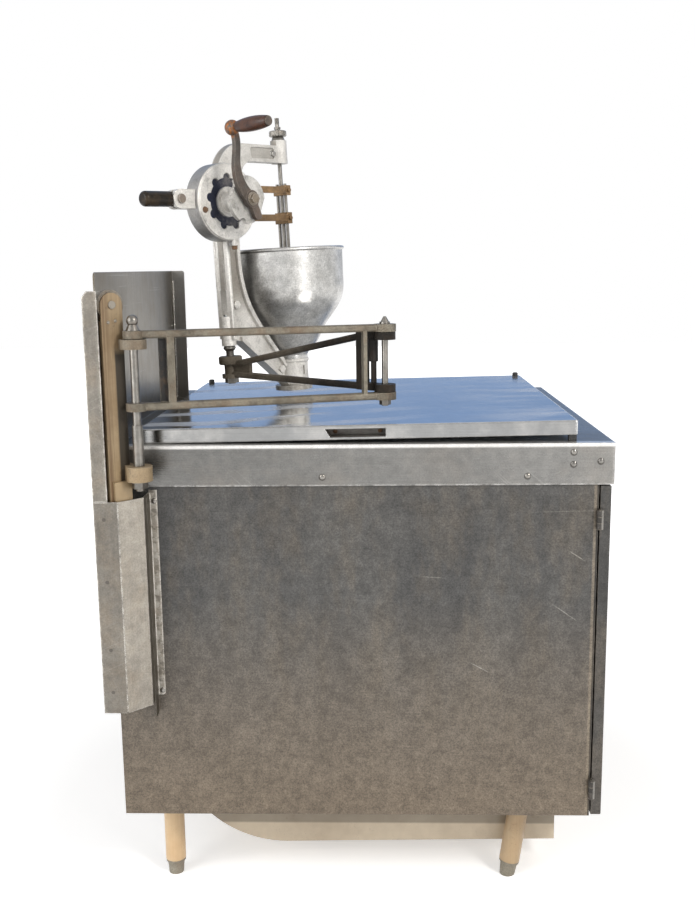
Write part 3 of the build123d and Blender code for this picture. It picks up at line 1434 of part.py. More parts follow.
def handle_bracket():
    """Clevis on the side of the cam housing that holds the push handle."""
    body = block(handle_root, drum_a - drum_radius + 12, -handle_b - 13, -handle_b + 13,
                 handle_z - clevis_half, handle_z + clevis_half)
    body = fillet(body.edges().filter_by(Axis.Y).group_by(Axis.X)[0], clevis_half - 1)
    body -= along_y(drum_a, drum_z, -drum_depth - 5, 5, drum_radius)
    tang = handle_tang(run_fit)
    bolt = along_y(handle_bolt_a, handle_z, -handle_b - 20, -handle_b + 20, handle_bolt_size / 2)
    return depositor_at * (body - tang - bolt)


def handle_tang(grow):
    """Flat end of the push handle that sits in the clevis."""
    return block(handle_root - 4 - grow, handle_root + 46 + grow, -handle_b - 5 - grow, -handle_b + 5 + grow,
                 handle_z - clevis_half - 1 - grow, handle_z + clevis_half + 1 + grow)


def handle_grip():
    """Long dark push handle with a rounded end and a flat tang in the clevis."""
    grip = along_x(-handle_b, handle_z, handle_end, handle_root - 2, handle_size / 2)
    grip = fillet(grip.edges().group_by(Axis.X)[0], 8)
    tang = handle_tang(0.0) & block(handle_root - 5, handle_root + 50, -60, 0, handle_z - 14, handle_z + 14)
    hole = along_y(handle_bolt_a, handle_z, -handle_b - 20, -handle_b + 20, handle_bolt_size / 2)
    return depositor_at * (grip + tang - hole)


def handle_bolt():
    """Bolt across the clevis."""
    r = handle_bolt_size / 2
    body = along_y(handle_bolt_a, handle_z, -handle_b - 17, -handle_b + 17, r)
    for b0, b1 in ((-handle_b - 18, -handle_b - 13), (-handle_b + 13, -handle_b + 18)):
        body += along_y(handle_bolt_a, handle_z, b0, b1, r + 4)
    return depositor_at * body


os.makedirs("parts", exist_ok=True)

save(base_frame(), "base_frame")
save(side_panel(panel_near, 1), "side_panel_near")
save(side_panel(panel_far, -1), "side_panel_far")
save(back_panel(), "back_panel")
save(counter_top(), "counter_top")
save(group([apron_screws(), guard_screws()]), "sheet_screws")
save(splash_back(), "splash_back")
save(kettle(), "kettle")
save(fire_box(), "fire_box")
save(burner_tubes(), "burner_tubes")
save(gas_manifold(), "gas_manifold")
save(gas_valve(), "gas_valve")
save(control_panel(), "control_panel")
save(thermostat(), "thermostat")
save(knob(thermostat_y, thermostat_z), "thermostat_knob")
save(knob(gas_y, burner_z), "gas_knob")
save(drain_pipe_run(), "drain_pipe")
save(drain_valve(), "drain_valve")
save(drain_handle(), "drain_handle")
save(legs(), "legs")
save(feet(), "feet")
save(drain_pan(), "drain_pan")
save(group([door(), door_liner()]), "door")
save(door_pull(), "door_pull")
save(door_hinges(True), "door_hinge_leaves")
save(door_hinges(False), "jamb_hinge_leaves")
save(door_catch(), "door_catch")
save(group([lid(), lid_pull()]), "lid")
save(lid_feet(), "lid_feet")
save(lid_pegs(), "lid_pegs")
save(upper_guard(), "upper_guard")
save(group([lower_guard(), guard_angle()]), "lower_guard")
save(lift_post(), "lift_post")
save(sheave(), "sheave")
save(group([post_brackets(), stop_plate(), post_rivets(), sheave_pin()]), "post_fixings")
save(lift_cable(), "lift_cable")
save(counterweight(), "counterweight")
save(carriage(), "carriage")
save(group([hinge_rod(), rod_nut(), rod_sleeve()]), "hinge_rod")
save(inner_arm(), "inner_arm")
save(elbow_pin(), "elbow_pin")
save(outer_arm(), "outer_arm")
save(elbow_lock(), "elbow_lock")
save(group([spindle(), spindle_nut()]), "spindle")
save(group([depositor_frame(), frame_bolts()]), "depositor_frame")
save(group([cam_housing(), cam_cover()]), "cam_housing")
save(group([crank_shaft(), cam_disc(), crank_bolt()]), "crank_shaft")
save(group([crank_arm(), grip_pin()]), "crank_arm")
save(crank_grip(), "crank_grip")
save(hopper(), "hopper")
save(barrel(), "barrel")
save(group([plunger_rod(), piston(), top_nut()]), "plunger")
save(upper_yoke(), "upper_yoke")
save(lower_yoke(), "lower_yoke")
save(group([cutter_rods(), cutter_disc()]), "cutter")
save(dose_nut(), "dose_nut")
save(group([handle_bracket(), handle_bolt()]), "handle_bracket")
save(handle_grip(), "handle_grip")
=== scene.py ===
"""Looks of the donut fryer: a finish for every piece, the small fittings, the studio and the camera."""
import json
import math

import bmesh
import bpy
from mathutils import Matrix, Vector


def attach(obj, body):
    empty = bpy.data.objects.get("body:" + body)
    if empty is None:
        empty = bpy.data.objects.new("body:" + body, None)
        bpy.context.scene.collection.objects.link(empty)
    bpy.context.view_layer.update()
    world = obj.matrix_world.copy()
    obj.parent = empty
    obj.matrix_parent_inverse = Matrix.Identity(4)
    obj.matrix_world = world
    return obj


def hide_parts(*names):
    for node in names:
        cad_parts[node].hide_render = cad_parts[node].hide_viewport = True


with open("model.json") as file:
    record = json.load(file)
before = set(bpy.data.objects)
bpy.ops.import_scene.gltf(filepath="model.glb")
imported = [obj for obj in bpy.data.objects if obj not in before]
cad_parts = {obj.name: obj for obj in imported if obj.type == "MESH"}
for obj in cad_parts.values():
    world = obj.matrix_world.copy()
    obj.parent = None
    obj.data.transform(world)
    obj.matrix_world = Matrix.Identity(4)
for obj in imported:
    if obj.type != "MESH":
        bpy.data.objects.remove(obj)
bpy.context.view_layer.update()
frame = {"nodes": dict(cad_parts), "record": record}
nodes = frame["nodes"]
mm = 0.001

# Camera of the photograph: its place in metres, its angles in degrees and its lens in pixels
camera_place = Vector((0.0425, -2.2266, 1.2313))
camera_yaw = -1.874
camera_pitch = 10.137
camera_roll = -0.702
focal_pixels = 1018.98
image_height = 900

# Places in metres, and turns: the spindle and the depositor on it, the lid's corner, the mast and the rod
spindle_place = Vector((-0.27637, -0.05598, 1.038))
depositor_lean = math.radians(-2.5)
depositor_turn = math.radians(50)
spindle_at = Matrix.Translation(spindle_place) @ Matrix.Rotation(depositor_lean, 4, "Y")
depositor_at = spindle_at @ Matrix.Rotation(depositor_turn, 4, "Z")
lid_at = Matrix.Translation((-0.407, -0.377, 0.9143)) @ Matrix.Rotation(math.radians(-0.848), 4, "Y")
mast_place = (-0.429, -0.450, 0.0)
mast_turn = math.radians(45)
rod_place = (-0.387, -0.456, 0.0)
inner_arm_turn = math.radians(17.3)

# Cover's middle and plunger's axis in the depositor's frame
drum_a, drum_z = -0.015, 0.328
plunger_a = 0.186

# Scratches seen on the near panel: middle in X and Z, turn in degrees, length and strength
panel_scratches = (
    ((0.404, 0.702), -33, 0.040, 0.40),
    ((0.386, 0.591), -35, 0.062, 0.28),
    ((0.226, 0.484), -29, 0.045, 0.38),
    ((0.383, 0.786), 1, 0.150, 0.12),
    ((0.137, 0.661), -4, 0.050, 0.2),
)

# Dome screws of the apron and of the guard's strip in X and Z, and the faces they stand on in Y
apron_screws = ((-0.064, 0.854), (0.311, 0.854), (0.394, 0.8978), (0.394, 0.8755), (0.443, 0.8809))
apron_near, apron_far = -0.397, 0.475
strip_screws = ((-0.378, 0.438), (-0.378, 0.810))
strip_face = -0.3945

# Dark spots down the lower guard's front face: their heights, and the X and Y that they share
guard_spots = (0.794, 0.678, 0.5495, 0.468)
guard_spot_x, guard_front = -0.451, -0.475


def put(tree, socket, value):
    """Give a socket its value, or link it to the socket that brings one."""
    if isinstance(value, bpy.types.NodeSocket):
        tree.links.new(value, socket)
    else:
        socket.default_value = value


def add(tree, kind, **inputs):
    """New node with a value or a link for each socket named."""
    node = tree.nodes.new("ShaderNode" + kind)
    for label, value in inputs.items():
        put(tree, node.inputs[label.replace("_", " ")], value)
    return node


def maths(tree, operation, *values):
    """One arithmetic step on sockets or numbers."""
    node = tree.nodes.new("ShaderNodeMath")
    node.operation = operation
    for slot, value in enumerate(values):
        put(tree, node.inputs[slot], value)
    return node.outputs[0]


def times(tree, first, second):
    """Product of two sockets or numbers."""
    return maths(tree, "MULTIPLY", first, second)


def weighted(tree, first, second, share):
    """Sum of two values, the first by its share and the second by the rest."""
    return maths(tree, "ADD", times(tree, first, share), times(tree, second, 1.0 - share))


def vector_maths(tree, operation, first, second):
    """One step on vectors: a product, a dot product or a distance."""
    node = tree.nodes.new("ShaderNodeVectorMath")
    node.operation = operation
    put(tree, node.inputs[0], first)
    put(tree, node.inputs[1], second)
    return node.outputs["Value" if operation in ("DOT_PRODUCT", "DISTANCE") else "Vector"]


def brighter(tree, colour, factor):
    """Colour multiplied by a value."""
    node = tree.nodes.new("ShaderNodeVectorMath")
    node.operation = "SCALE"
    put(tree, node.inputs[0], colour)
    put(tree, node.inputs["Scale"], factor)
    return node.outputs["Vector"]


def component(tree, vector, axis):
    """One component of a vector."""
    return add(tree, "SeparateXYZ", Vector=vector).outputs[axis]


def spread(tree, source, low, high, out_low=0.0, out_high=1.0):
    """Stretch of a value from one range to another, held at both ends."""
    node = add(tree, "MapRange", Value=source, From_Min=low, From_Max=high, To_Min=out_low, To_Max=out_high)
    return node.outputs["Result"]


def slope(tree, vector, axis, low, high, out_low=0.0, out_high=1.0):
    """Stretch of one component of a vector from one range to another."""
    return spread(tree, component(tree, vector, axis), low, high, out_low, out_high)


def within(tree, value, start, full, full_end, end):
    """Mask of a band of values, with a soft start and a soft end."""
    return times(tree, spread(tree, value, start, full), spread(tree, value, end, full_end))


def noise(tree, vector, scale, detail=4.0, rough=0.55):
    """Soft noise value on given coordinates."""
    node = add(tree, "TexNoise", Vector=vector, Scale=scale, Detail=detail, Roughness=rough)
    return node.outputs["Fac"]


def blend(tree, factor, first, second):
    """Mix of two colours, each given as a socket or as numbers."""
    node = tree.nodes.new("ShaderNodeMix")
    node.data_type = "RGBA"
    inputs = {socket.identifier: socket for socket in node.inputs}
    for label, value in (("Factor_Float", factor), ("A_Color", first), ("B_Color", second)):
        put(tree, inputs[label], value + (1.0,) if isinstance(value, tuple) else value)
    return next(s for s in node.outputs if s.identifier == "Result_Color")


def paint_over(tree, colour, mask, share, paint):
    """Paint over a colour where the mask is, up to a share."""
    return blend(tree, times(tree, mask, share), colour, paint)


def own_frame(tree, place, location, rotation):
    """Coordinates in a frame with its own place and turn."""
    mapping = add(tree, "Mapping", Vector=place, Location=location, Rotation=rotation)
    mapping.vector_type = "TEXTURE"
    return mapping.outputs[0]


def new_group(name, output, *inputs):
    """Empty group on coordinates with one value out; each further input is a name, a kind and a value."""
    tree = bpy.data.node_groups.new(name, "ShaderNodeTree")
    for label, kind, value in (("Vector", "Vector", None),) + inputs:
        socket = tree.interface.new_socket(label, in_out="INPUT", socket_type="NodeSocket" + kind)
        if value is not None:
            socket.default_value = value
    tree.interface.new_socket(output, in_out="OUTPUT", socket_type="NodeSocketFloat")
    given, result = tree.nodes.new("NodeGroupInput"), tree.nodes.new("NodeGroupOutput")
    return tree, given.outputs, result.inputs[output]


def blotch_group():
    """Cloudy patches with a soft edge, at two sizes."""
    tree, given, mask = new_group(
        "blotches", "Mask", ("Scale", "Float", 6.0), ("Low", "Float", 0.42), ("High", "Float", 0.62))
    large = noise(tree, given["Vector"], scale=given["Scale"], detail=3.0)
    small = noise(tree, given["Vector"], scale=times(tree, given["Scale"], 5.3), detail=5.0)
    both = weighted(tree, large, small, share=0.68)
    tree.links.new(spread(tree, both, given["Low"], given["High"]), mask)
    return tree


def grain_group():
    """Fine lines of a rolled or brushed sheet, drawn out along the smallest stretch."""
    tree, given, lines = new_group("rolled_grain", "Lines", ("Stretch", "Vector", (8.0, 300.0, 300.0)))
    drawn = vector_maths(tree, "MULTIPLY", given["Vector"], given["Stretch"])
    tree.links.new(spread(tree, noise(tree, drawn, scale=1.0, detail=6.0, rough=0.7), 0.3, 0.7), lines)
    return tree


def pepper_group():
    """Fine salt-and-pepper tone of an old etched sheet, at two grain sizes."""
    tree, given, tone = new_group("salt_and_pepper", "Tone", ("Scale", "Float", 330.0))
    coarse = noise(tree, given["Vector"], scale=given["Scale"], detail=2.0, rough=0.6)
    fine = noise(tree, given["Vector"], scale=times(tree, given["Scale"], 2.7), detail=1.0)
    tree.links.new(spread(tree, weighted(tree, coarse, fine, share=0.6), 0.32, 0.68), tone)
    return tree


def scratch_group():
    """Thin long stray scratches in two slanting directions."""
    tree, given, mask = new_group("stray_scratches", "Mask", ("Share", "Float", 0.5))
    lines = []
    for turn, stretch in ((0.42, (5.0, 3.0, 330.0)), (-0.75, (6.5, 4.0, 410.0))):
        slant = add(tree, "Mapping", Vector=given["Vector"], Rotation=(0.0, turn, 0.0))
        drawn = vector_maths(tree, "MULTIPLY", slant.outputs[0], stretch)
        lines.append(spread(tree, noise(tree, drawn, scale=1.0, detail=0.0), 0.76, 0.80))
    patch = spread(tree, noise(tree, given["Vector"], scale=3.0, detail=2.0), 0.5, 0.62)
    both = times(tree, maths(tree, "MAXIMUM", *lines), patch)
    tree.links.new(times(tree, both, given["Share"]), mask)
    return tree


def speck_group():
    """Small dark or rusty specks."""
    tree, given, mask = new_group("specks", "Mask", ("Scale", "Float", 320.0), ("Size", "Float", 0.3))
    cells = add(tree, "TexVoronoi", Vector=given["Vector"], Scale=given["Scale"])
    dots = spread(tree, cells.outputs["Distance"], given["Size"], 0.0)
    some = spread(tree, noise(tree, given["Vector"], scale=26.0, detail=3.0), 0.48, 0.66)
    tree.links.new(times(tree, dots, some), mask)
    return tree


def edge_group():
    """Rubbed edges: where the rounded normal leaves the face's own, broken up by noise."""
    tree, given, mask = new_group(
        "edge_wear", "Mask", ("Rounded", "Vector", None), ("Flat", "Vector", None))
    same = vector_maths(tree, "DOT_PRODUCT", given["Rounded"], given["Flat"])
    bent = spread(tree, same, 0.995, 0.90)
    uneven = spread(tree, noise(tree, given["Vector"], scale=90.0, detail=3.0), 0.3, 0.6)
    tree.links.new(times(tree, bent, uneven), mask)
    return tree


blotches = blotch_group()
rolled_grain = grain_group()
salt_and_pepper = pepper_group()
stray_scratches = scratch_group()
specks = speck_group()
edge_wear = edge_group()


def use(tree, group, vector, **inputs):
    """One shared effect placed in a material with its own values and links."""
    node = tree.nodes.new("ShaderNodeGroup")
    node.node_tree = group
    for label, value in dict(inputs, Vector=vector).items():
        put(tree, node.inputs[label], value)
    return node.outputs[0]


class Finish:
    """A material under way: its tree, its shader, its coordinates and its rounded edges."""

    def __init__(self, name, metallic, edge=1.5 * mm, **shader):
        self.material = bpy.data.materials.new(name)
        self.material.use_nodes = True
        self.tree = self.material.node_tree
        self.surface = next(n for n in self.tree.nodes if n.type == "BSDF_PRINCIPLED")
        for label, value in dict(shader, Metallic=metallic).items():
            self.surface.inputs[label.replace("_", " ")].default_value = value
        self.place = self.tree.nodes.new("ShaderNodeTexCoord").outputs["Object"]
        bevel = add(self.tree, "Bevel", Radius=edge)
        bevel.samples = 4
        self.rounded = bevel.outputs["Normal"]
        self.flat = self.tree.nodes.new("ShaderNodeNewGeometry").outputs["Normal"]

    def worn_edges(self):
        """Mask of the rubbed edges."""
        return use(self.tree, edge_wear, self.place, Rounded=self.rounded, Flat=self.flat)

    def done(self, colour, rough, *reliefs):
        """Connect colour, roughness and relief; each relief is a height and its depth in metres."""
        normal = self.rounded
        for height, depth in reliefs:
            bump = add(self.tree, "Bump", Height=height, Normal=normal, Strength=1.0, Distance=depth)
            normal = bump.outputs["Normal"]
        for label, source in (("Base Color", colour), ("Roughness", rough), ("Normal", normal)):
            self.tree.links.new(source, self.surface.inputs[label])
        return self.material


def sheet_metal(name, dark, light, stain, stain_share, grain_stretch, rough=(0.28, 0.45), metallic=0.85,
                patch_scale=5.0, pepper=0.12, scratch_share=0.35, scratch_colour=(0.62, 0.60, 0.57),
                speck_share=0.25, edge=1.5 * mm, edge_colour=(0.72, 0.70, 0.66), edge_share=0.6, wave=0.0,
                mottle=0.05, cloud_stretch=(1.0, 1.0, 1.0), dent=0.0, film=None, shade=None, grime=None):
    """Rolled sheet: cloudy tone, stains, fine grain, stray scratches, specks and rubbed edges.

    A shade marks the colour under the stains, grime marks it over the edges (the guard's grime is painted
    shade and spots), and a film is a mask of dust (the lid's is dust and a pale painted reflection).
    """
    finish = Finish(name, metallic, edge)
    tree, place = finish.tree, finish.place
    cloudy = vector_maths(tree, "MULTIPLY", place, cloud_stretch)
    tone = use(tree, blotches, cloudy, Scale=patch_scale, Low=0.32, High=0.68)
    lines = use(tree, rolled_grain, place, Stretch=grain_stretch)
    scratch = use(tree, stray_scratches, place, Share=scratch_share)
    spill = use(tree, blotches, cloudy, Scale=patch_scale * 2.3, Low=0.46, High=0.68)
    colour = blend(tree, tone, dark, light)
    if shade:
        colour = shade(tree, place, colour)
    colour = paint_over(tree, colour, spill, share=stain_share, paint=stain)
    clouds = use(tree, blotches, place, Scale=55.0, Low=0.36, High=0.64)
    grains = spread(tree, use(tree, salt_and_pepper, place), 0.0, 1.0, 1.0 - pepper, 1.0 + pepper)
    grains = times(tree, grains, spread(tree, clouds, 0.0, 1.0, 1.0 - mottle, 1.0 + mottle))
    streaks = spread(tree, lines, 0.0, 1.0, 1.06, 0.92)
    colour = brighter(tree, colour, times(tree, grains, streaks))
    colour = paint_over(tree, colour, use(tree, specks, place), share=speck_share, paint=(0.05, 0.04, 0.03))
    colour = blend(tree, scratch, colour, scratch_colour)
    colour = paint_over(tree, colour, finish.worn_edges(), share=edge_share, paint=edge_colour)
    if grime:
        colour = grime(tree, place, colour)
    roughness = spread(tree, weighted(tree, spill, lines, share=0.5), 0.0, 1.0, *rough)
    if film:
        # On the lid the film is dust and also a pale painted reflection
        dust_and_reflection = film(tree, place)
        colour = blend(tree, dust_and_reflection, colour, (0.66, 0.69, 0.74))
        roughness = maths(tree, "ADD", roughness, times(tree, dust_and_reflection, 0.3))
        bare = maths(tree, "SUBTRACT", metallic, times(tree, dust_and_reflection, 0.75))
        tree.links.new(bare, finish.surface.inputs["Metallic"])
    reliefs = [(maths(tree, "SUBTRACT", lines, times(tree, scratch, 1.5)), 0.05 * mm)]
    if wave:
        drawn = vector_maths(tree, "MULTIPLY", place, (7.0, 2.2, 4.0))
        reliefs.insert(0, (noise(tree, drawn, scale=1.0, detail=1.0), wave))
    if dent:
        reliefs.append((noise(tree, place, scale=110.0, detail=2.0), dent))
    return finish.done(colour, roughness, *reliefs)


def cast_metal(name, dark, light, rust, rust_share, metallic=0.8, rough=(0.35, 0.6), pit_scale=420.0,
               pit_depth=0.4 * mm, grime=(0.05, 0.045, 0.04), grime_share=0.4, edge_colour=None,
               edge_share=0.6, gloss=0.5, shade=None):
    """Sand-cast metal: grainy skin, grime in patches, rust and rubbed edges."""
    finish = Finish(name, metallic, 2.0 * mm, Specular_IOR_Level=gloss)
    tree, place = finish.tree, finish.place
    tone = use(tree, blotches, place, Scale=14.0, Low=0.35, High=0.65)
    dirt = use(tree, blotches, place, Scale=38.0, Low=0.52, High=0.70)
    oxide = use(tree, blotches, place, Scale=23.0, Low=0.46, High=0.66)
    fine = spread(tree, noise(tree, place, scale=pit_scale, detail=3.0, rough=0.6), 0.35, 0.65)
    colour = blend(tree, tone, dark, light)
    if shade:
        colour = shade(tree, place, colour)
    colour = paint_over(tree, colour, oxide, share=rust_share, paint=rust)
    colour = paint_over(tree, colour, dirt, share=grime_share, paint=grime)
    colour = brighter(tree, colour, spread(tree, fine, 0.0, 1.0, 1.1, 0.86))
    if edge_colour:
        colour = paint_over(tree, colour, finish.worn_edges(), share=edge_share, paint=edge_colour)
    roughness = spread(tree, weighted(tree, dirt, fine, share=0.5), 0.0, 1.0, *rough)
    return finish.done(colour, roughness, (fine, pit_depth))


def enamel(name, dark, light, chip, chip_share, metallic=0.0, rough=(0.3, 0.5), patch_scale=9.0,
           streak=None, streak_share=0.0, edge_share=0.7, shade=None):
    """Old enamel or paint: yellowed patches, runs, chips down to bare metal and a slight ripple."""
    finish = Finish(name, metallic)
    tree, place = finish.tree, finish.place
    tone = use(tree, blotches, place, Scale=patch_scale, Low=0.33, High=0.67)
    worn = use(tree, blotches, place, Scale=patch_scale * 3.1, Low=0.62, High=0.68)
    dots = use(tree, specks, place, Scale=240.0, Size=0.32)
    colour = blend(tree, tone, dark, light)
    if streak:
        runs = use(tree, rolled_grain, place, Stretch=(170.0, 170.0, 5.0))
        colour = paint_over(tree, colour, runs, share=streak_share, paint=streak)
    if shade:
        colour = shade(tree, place, colour)
    chips = times(tree, maths(tree, "MAXIMUM", worn, dots), chip_share)
    chips = maths(tree, "MAXIMUM", chips, times(tree, finish.worn_edges(), edge_share))
    colour = blend(tree, chips, colour, chip)
    height = maths(tree, "SUBTRACT", noise(tree, place, scale=90.0, detail=3.0), chips)
    return finish.done(colour, spread(tree, chips, 0.0, 1.0, *rough), (height, 0.2 * mm))


def turned_metal(name, dark, light, rust, rust_share, metallic=0.9, rough=(0.2, 0.4),
                 ring=(300.0, 300.0, 40.0)):
    """Turned rods and nuts: fine tool marks, dull patches and rust."""
    finish = Finish(name, metallic, 0.8 * mm)
    tree, place = finish.tree, finish.place
    marks = use(tree, rolled_grain, place, Stretch=ring)
    tone = use(tree, blotches, place, Scale=30.0, Low=0.4, High=0.66)
    oxide = use(tree, blotches, place, Scale=47.0, Low=0.48, High=0.66)
    colour = paint_over(tree, blend(tree, tone, dark, light), oxide, share=rust_share, paint=rust)
    roughness = spread(tree, weighted(tree, marks, oxide, share=0.5), 0.0, 1.0, *rough)
    return finish.done(colour, roughness, (marks, 0.05 * mm))


def moulded(name, dark, light, rough=(0.35, 0.6)):
    """Moulded rubber or plastic: fine grain and dusty patches."""
    finish = Finish(name, 0.0)
    tree, place = finish.tree, finish.place
    tone = use(tree, blotches, place, Scale=34.0, Low=0.42, High=0.66)
    skin = noise(tree, place, scale=600.0, detail=2.0)
    colour = blend(tree, tone, dark, light)
    roughness = spread(tree, weighted(tree, tone, skin, share=0.7), 0.2, 0.9, *rough)
    return finish.done(colour, roughness, (skin, 0.1 * mm))


def turned_wood(name, dark, light, worn_colour, worn_share, gloss=0.5):
    """Dark oiled wood with drawn-out grain and worn patches."""
    finish = Finish(name, 0.0, Specular_IOR_Level=gloss)
    tree, place = finish.tree, finish.place
    slant = add(tree, "Mapping", Vector=place, Rotation=(0.0, 0.0, math.radians(40)))
    drawn = vector_maths(tree, "MULTIPLY", slant.outputs[0], (420.0, 60.0, 420.0))
    fibres = noise(tree, drawn, scale=1.0, detail=4.0, rough=0.65)
    worn = use(tree, blotches, place, Scale=42.0, Low=0.45, High=0.65)
    colour = blend(tree, spread(tree, fibres, 0.35, 0.65), dark, light)
    colour = paint_over(tree, colour, worn, share=worn_share, paint=worn_colour)
    return finish.done(colour, spread(tree, worn, 0.0, 1.0, 0.28, 0.5), (fibres, 0.15 * mm))


def in_depositor(tree, place):
    """Coordinates in the depositor's own frame: along the arm, across it and up."""
    return own_frame(tree, place, spindle_place, depositor_at.to_euler())


def spot(tree, place, point, radius):
    """Mask of a round spot about a point, soft at its edge."""
    return spread(tree, vector_maths(tree, "DISTANCE", place, point), radius, radius * 0.75)


# Ramps of the marks: where each begins and is full, in metres, then its two strengths if not nought and one
panel_shadow = (0.80, 0.26, 0.76, 0.96)
panel_warmth = (0.62, 0.20)
door_warmth = (0.446, 0.440, 0.2, 0.75)
door_darkening = (0.445, 0.447, 1.0, 0.72)
scratched_face = (-0.385, -0.390)
scratch_side = (1.3 * mm, 0.4 * mm)
apron_tone = (-0.25, 0.45, 0.9, 1.32)
apron_face = (-0.374, -0.378)
apron_rim = (0.9060, 0.9095)
guard_face = (-0.4735, -0.4745)
guard_face_shade = (0.827, 0.825, 0.20, 0.50)
guard_lighting = (0.827, 0.825, 0.92, 1.24)
strip_start = (-0.3854, -0.3850)
splash_return = (0.2955, 0.2965)
lid_top = (-0.3755, -0.3735)
lid_rear = (0.16, -0.12, 0.0, 0.95)
lid_front = (0.16, 0.38, 0.0, 0.70)
post_streaks_and_shade = (-4.0 * mm, -16.0 * mm)
post_slide = (0.5 * mm, 3.0 * mm)
slide_top = (1.100, 1.085)
drum_rim = (77.0 * mm, 77.6 * mm)
drum_side = (-43.5 * mm, -42.0 * mm)
column_back = (-3.0 * mm, -4.2 * mm)
column_web = (9.5 * mm, 8.5 * mm)
web_start = (0.09, 0.15)
gooseneck_tone = (0.36, 0.42, 1.0, 0.94)
barrel_flange = (-66.0 * mm, -71.5 * mm)
crank_bolt = (-119.5 * mm, -120.0 * mm)

# Bands of the marks in metres: start, full, end of full and end
jamb_edge = (0.4325, 0.4345, 0.4380, 0.4395)
door_gap = (0.4380, 0.4395, 0.4455, 0.4465)
guard_return = (-0.3875, -0.3871, -0.3854, -0.3850)
return_depth = (-0.4365, -0.4350, -0.3970, -0.3955)
hopper_side = (-0.170, -0.196, -0.244, -0.264)
splash_dark_reflection = (0.08, 0.12, 0.290, 0.2955)
arm_web = (41.0 * mm, 42.0 * mm, 56.8 * mm, 57.0 * mm)
arm_web_height = (1.000, 1.003, 1.112, 1.115)
recess_ring = (58.0 * mm, 56.0 * mm, 21.5 * mm, 20.5 * mm)
recess_floor = (-42.5 * mm, -43.5 * mm, -44.5 * mm, -45.5 * mm)

# Centres and reach of round marks in the depositor's frame, in metres
crank_ball, crank_ball_reach = (-0.0509, -0.114, 0.463), 22.0 * mm
clevis_bolt, clevis_bolt_reach = (-0.128, -0.039, 0.334), 11.5 * mm


def scratch_mark(tree, place, middle, turn, length):
    """Mask of one fine straight scratch in an upright sheet, faded towards both ends."""
    local = own_frame(tree, place, (middle[0], 0.0, middle[1]), (0.0, math.radians(-turn), 0.0))
    along = maths(tree, "ABSOLUTE", component(tree, local, "X"))
    across = maths(tree, "ABSOLUTE", component(tree, local, "Z"))
    ends = spread(tree, along, length * 0.5, length * 0.2)
    inside = times(tree, ends, spread(tree, across, *scratch_side))
    return times(tree, inside, slope(tree, place, "Y", *scratched_face))


def panel_marks(tree, place, colour):
    """Panel carries painted shade at its top and a painted shadow in the door's gap; it is warmer towards
    the floor, scratched, rust-brown along the jamb's edge and darker on the door.
    """
    along = component(tree, place, "X")
    # Painted shade towards the top
    colour = brighter(tree, colour, slope(tree, place, "Z", *panel_shadow))
    warm = times(tree, slope(tree, place, "Z", *panel_warmth), spread(tree, along, *door_warmth))
    colour = blend(tree, warm, colour, (0.192, 0.148, 0.103))
    # Rust-brown along the jamb's edge, and black in the door's gap as a painted shadow
    edge, gap = within(tree, along, *jamb_edge), within(tree, along, *door_gap)
    colour = paint_over(tree, colour, edge, share=0.5, paint=(0.27, 0.22, 0.16))
    colour = paint_over(tree, colour, gap, share=0.9, paint=(0.014, 0.012, 0.010))
    colour = brighter(tree, colour, spread(tree, along, *door_darkening))
    for middle, turn, length, share in panel_scratches:
        mark = scratch_mark(tree, place, middle, turn, length)
        colour = paint_over(tree, colour, mark, share=share, paint=(0.52, 0.50, 0.45))
    return colour


def apron_grime_shade_and_highlight(tree, place, colour):
    """Apron grows paler towards the door, has grime and a painted shadow round its screws, and a painted
    highlight along its rolled edge.
    """
    colour = brighter(tree, colour, slope(tree, place, "X", *apron_tone))
    for x, z in apron_screws:
        # Grime and a painted shadow round each screw head, set a little low
        ring = spot(tree, place, (x - 0.6 * mm, apron_near, z - 0.9 * mm), 7.2 * mm)
        colour = paint_over(tree, colour, ring, share=0.8, paint=(0.035, 0.032, 0.028))
    # Painted highlight along the rolled edge
    edge = times(tree, slope(tree, place, "Z", *apron_rim), slope(tree, place, "Y", *apron_face))
    return paint_over(tree, colour, edge, share=0.85, paint=(0.86, 0.84, 0.81))


def shaded_guard_face(tree, place, colour):
    """Painted shade on the guards' front faces, darker than their folded sides and the lower one most; the
    lower guard is painted lighter and the upper one a little darker.
    """
    shaded_front = times(tree, slope(tree, place, "Y", *guard_face), slope(tree, place, "Z", *guard_face_shade))
    colour = brighter(tree, colour, slope(tree, place, "Z", *guard_lighting))
    return brighter(tree, colour, maths(tree, "SUBTRACT", 1.0, shaded_front))


def guard_shade_and_spots(tree, place, colour):
    """Lower guard's inner return is painted black as shade, its strip blotched and its front face spotted.
    """
    along, across = component(tree, place, "X"), component(tree, place, "Y")
    strip = spread(tree, along, *strip_start)
    pale = times(tree, strip, spread(tree, noise(tree, place, scale=62.0, detail=3.0), 0.50, 0.60))
    colour = paint_over(tree, colour, pale, share=0.55, paint=(0.56, 0.53, 0.48))
    dark = times(tree, strip, spread(tree, noise(tree, place, scale=95.0, detail=3.0), 0.47, 0.38))
    colour = paint_over(tree, colour, dark, share=0.6, paint=(0.11, 0.095, 0.075))
    # Painted shade on the guard's inner return
    inner = times(tree, within(tree, along, *guard_return), within(tree, across, *return_depth))
    colour = paint_over(tree, colour, inner, share=0.88, paint=(0.050, 0.040, 0.026))
    for height in guard_spots:
        mark = spot(tree, place, (guard_spot_x, guard_front, height), 4.0 * mm)
        colour = paint_over(tree, colour, mark, share=0.6, paint=(0.05, 0.045, 0.04))
    return colour


